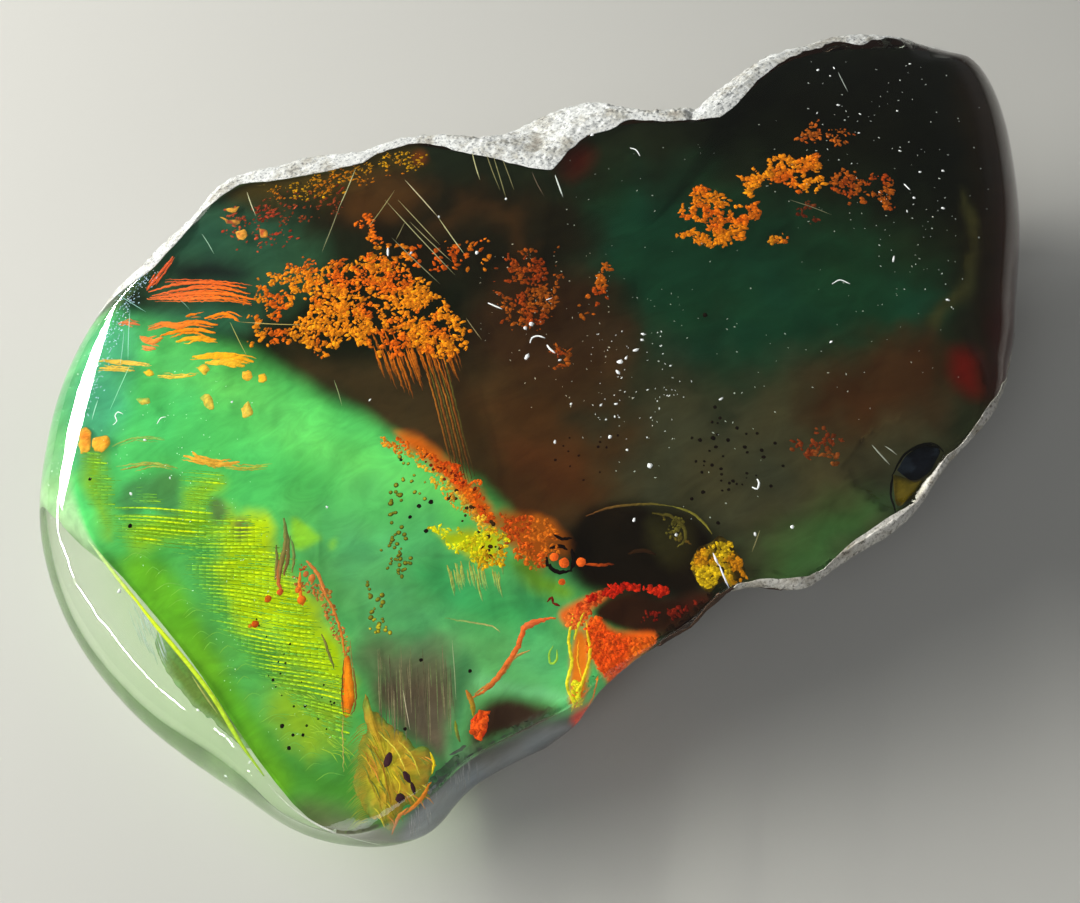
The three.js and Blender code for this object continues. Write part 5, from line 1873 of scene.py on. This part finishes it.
lip_inner = [
    (700, 600), (735, 582), (760, 578), (790, 577), (808, 576), (824, 566), (842, 548), (862, 532), (890, 512),
    (912, 500), (926, 484), (936, 468), (948, 452), (964, 438), (986, 408), (1004, 380), (1016, 350), (1100,
        300),
    (1100, -200), (-200, -200), (-200, 1000), (400, 1000), (600, 720), (660, 640)]
past_lip = np.where(faces_eye, -edge_distance(body_spots, lip_inner), 12.0)
near_side = between(angle_of, *NEAR_SIDE, 4)
lip_depth = (2.4 + 1.2 * rough_noise) * MM
lip_region = np.minimum(past_lip - 2 + 2.6 * rough_noise, (lip_depth - drop_below) / PIXEL)
lip_region = np.where(near_side > 0.05, lip_region, -5) - (1 - near_side) * 10

turned = (angle_of + 360) % 360
clear_width = CLEAR_WIDTH * between(turned, *CLEAR_FLANK, 14)
wall_or_under = (0.25 - facings[:, 2]) * 40
clear_gap = (edge_gap - clear_width) / PIXEL
rind_region = np.minimum(wall_or_under, np.where(clear_width > 0.5 * MM, clear_gap, 40)) + 6 * rough_noise
shoulder_keep = between(turned, *BARE_SHOULDER, 8) * (drop_below < 0.5 * MM)
rind_region -= 30 * shoulder_keep
print("points in the crust:", int((far_region > 0).sum()), "in the rind:", int((rind_region > 0).sum()))

# %% [markdown]
# Two finishes for the skins. The crust is frosted: white and dull, with tiny grey pits and weathered
# tan stains. The rind is dark brown, dull with a waxy sheen, with paler dusty patches in its hollows.
# Both get their pits from noise in the bump, on top of the real relief.

# %% Crust and rind finishes
def crust_finish(name, light, middle, pit):
    finish, nodes, links, shader = new_finish(name, {"Roughness": 0.75})
    grain = object_noise(nodes, links, 3600, 4, 0.65)
    colours = ramp(nodes, [(0.30, pit), (0.40, middle), (0.52, light)])
    links.new(grain.outputs["Fac"], colours.inputs["Fac"])
    weather = object_noise(nodes, links, 330, 5, 0.7)
    stains = ramp(nodes, [(0.34, (0.30, 0.24, 0.17)), (0.42, (0.62, 0.59, 0.52)), (0.52, (1.0, 1.0, 1.0))])
    links.new(weather.outputs["Fac"], stains.inputs["Fac"])
    stained = nodes.new("ShaderNodeMix")
    stained.data_type = "RGBA"
    stained.blend_type = "MULTIPLY"
    stained.inputs["Factor"].default_value = 0.75
    links.new(colours.outputs["Color"], stained.inputs[6])
    links.new(stains.outputs["Color"], stained.inputs[7])
    links.new(stained.outputs[2], shader.inputs["Base Color"])
    bump_from(nodes, links, grain.outputs["Fac"], shader, 0.6, 0.08 * MM)
    return finish


def rind_finish():
    finish, nodes, links, shader = new_finish("dark_rind", {"Roughness": 0.55})
    patches = object_noise(nodes, links, 160, 6, 0.7)
    pits = object_noise(nodes, links, 1500, 5, 0.6)
    colours = ramp(nodes, [
        (0.34, (0.012, 0.005, 0.003)), (0.48, (0.055, 0.022, 0.010)),
        (0.60, (0.110, 0.050, 0.022)), (0.72, (0.24, 0.17, 0.11)),
    ])
    blend = nodes.new("ShaderNodeMix")
    blend.inputs["Factor"].default_value = 0.35
    links.new(patches.outputs["Fac"], blend.inputs[2])
    links.new(pits.outputs["Fac"], blend.inputs[3])
    links.new(blend.outputs[0], colours.inputs["Fac"])
    links.new(colours.outputs["Color"], shader.inputs["Base Color"])
    bump_from(nodes, links, pits.outputs["Fac"], shader, 0.7, 0.2 * MM)
    return finish


white_finish = crust_finish("white_crust", (0.80, 0.82, 0.79), (0.46, 0.48, 0.48), (0.09, 0.09, 0.09))
lip_finish = crust_finish("grey_crust", (0.74, 0.72, 0.66), (0.44, 0.42, 0.37), (0.05, 0.05, 0.04))
skin_piece(Skin("white_crust", "white_crust", far_region, 1, 0.3 * MM, 0.3 * MM, 8), white_finish)
skin_piece(Skin("lip_crust", "white_crust", lip_region, 2, 0.12 * MM, 0.2 * MM, 8), lip_finish)
rind_only = rind_region - 40 * (np.maximum(far_region, lip_region) > 1)
skin_piece(Skin("dark_rind", "amber_rind", rind_only, 0, 0.22 * MM, 0.9 * MM, 12), rind_finish())
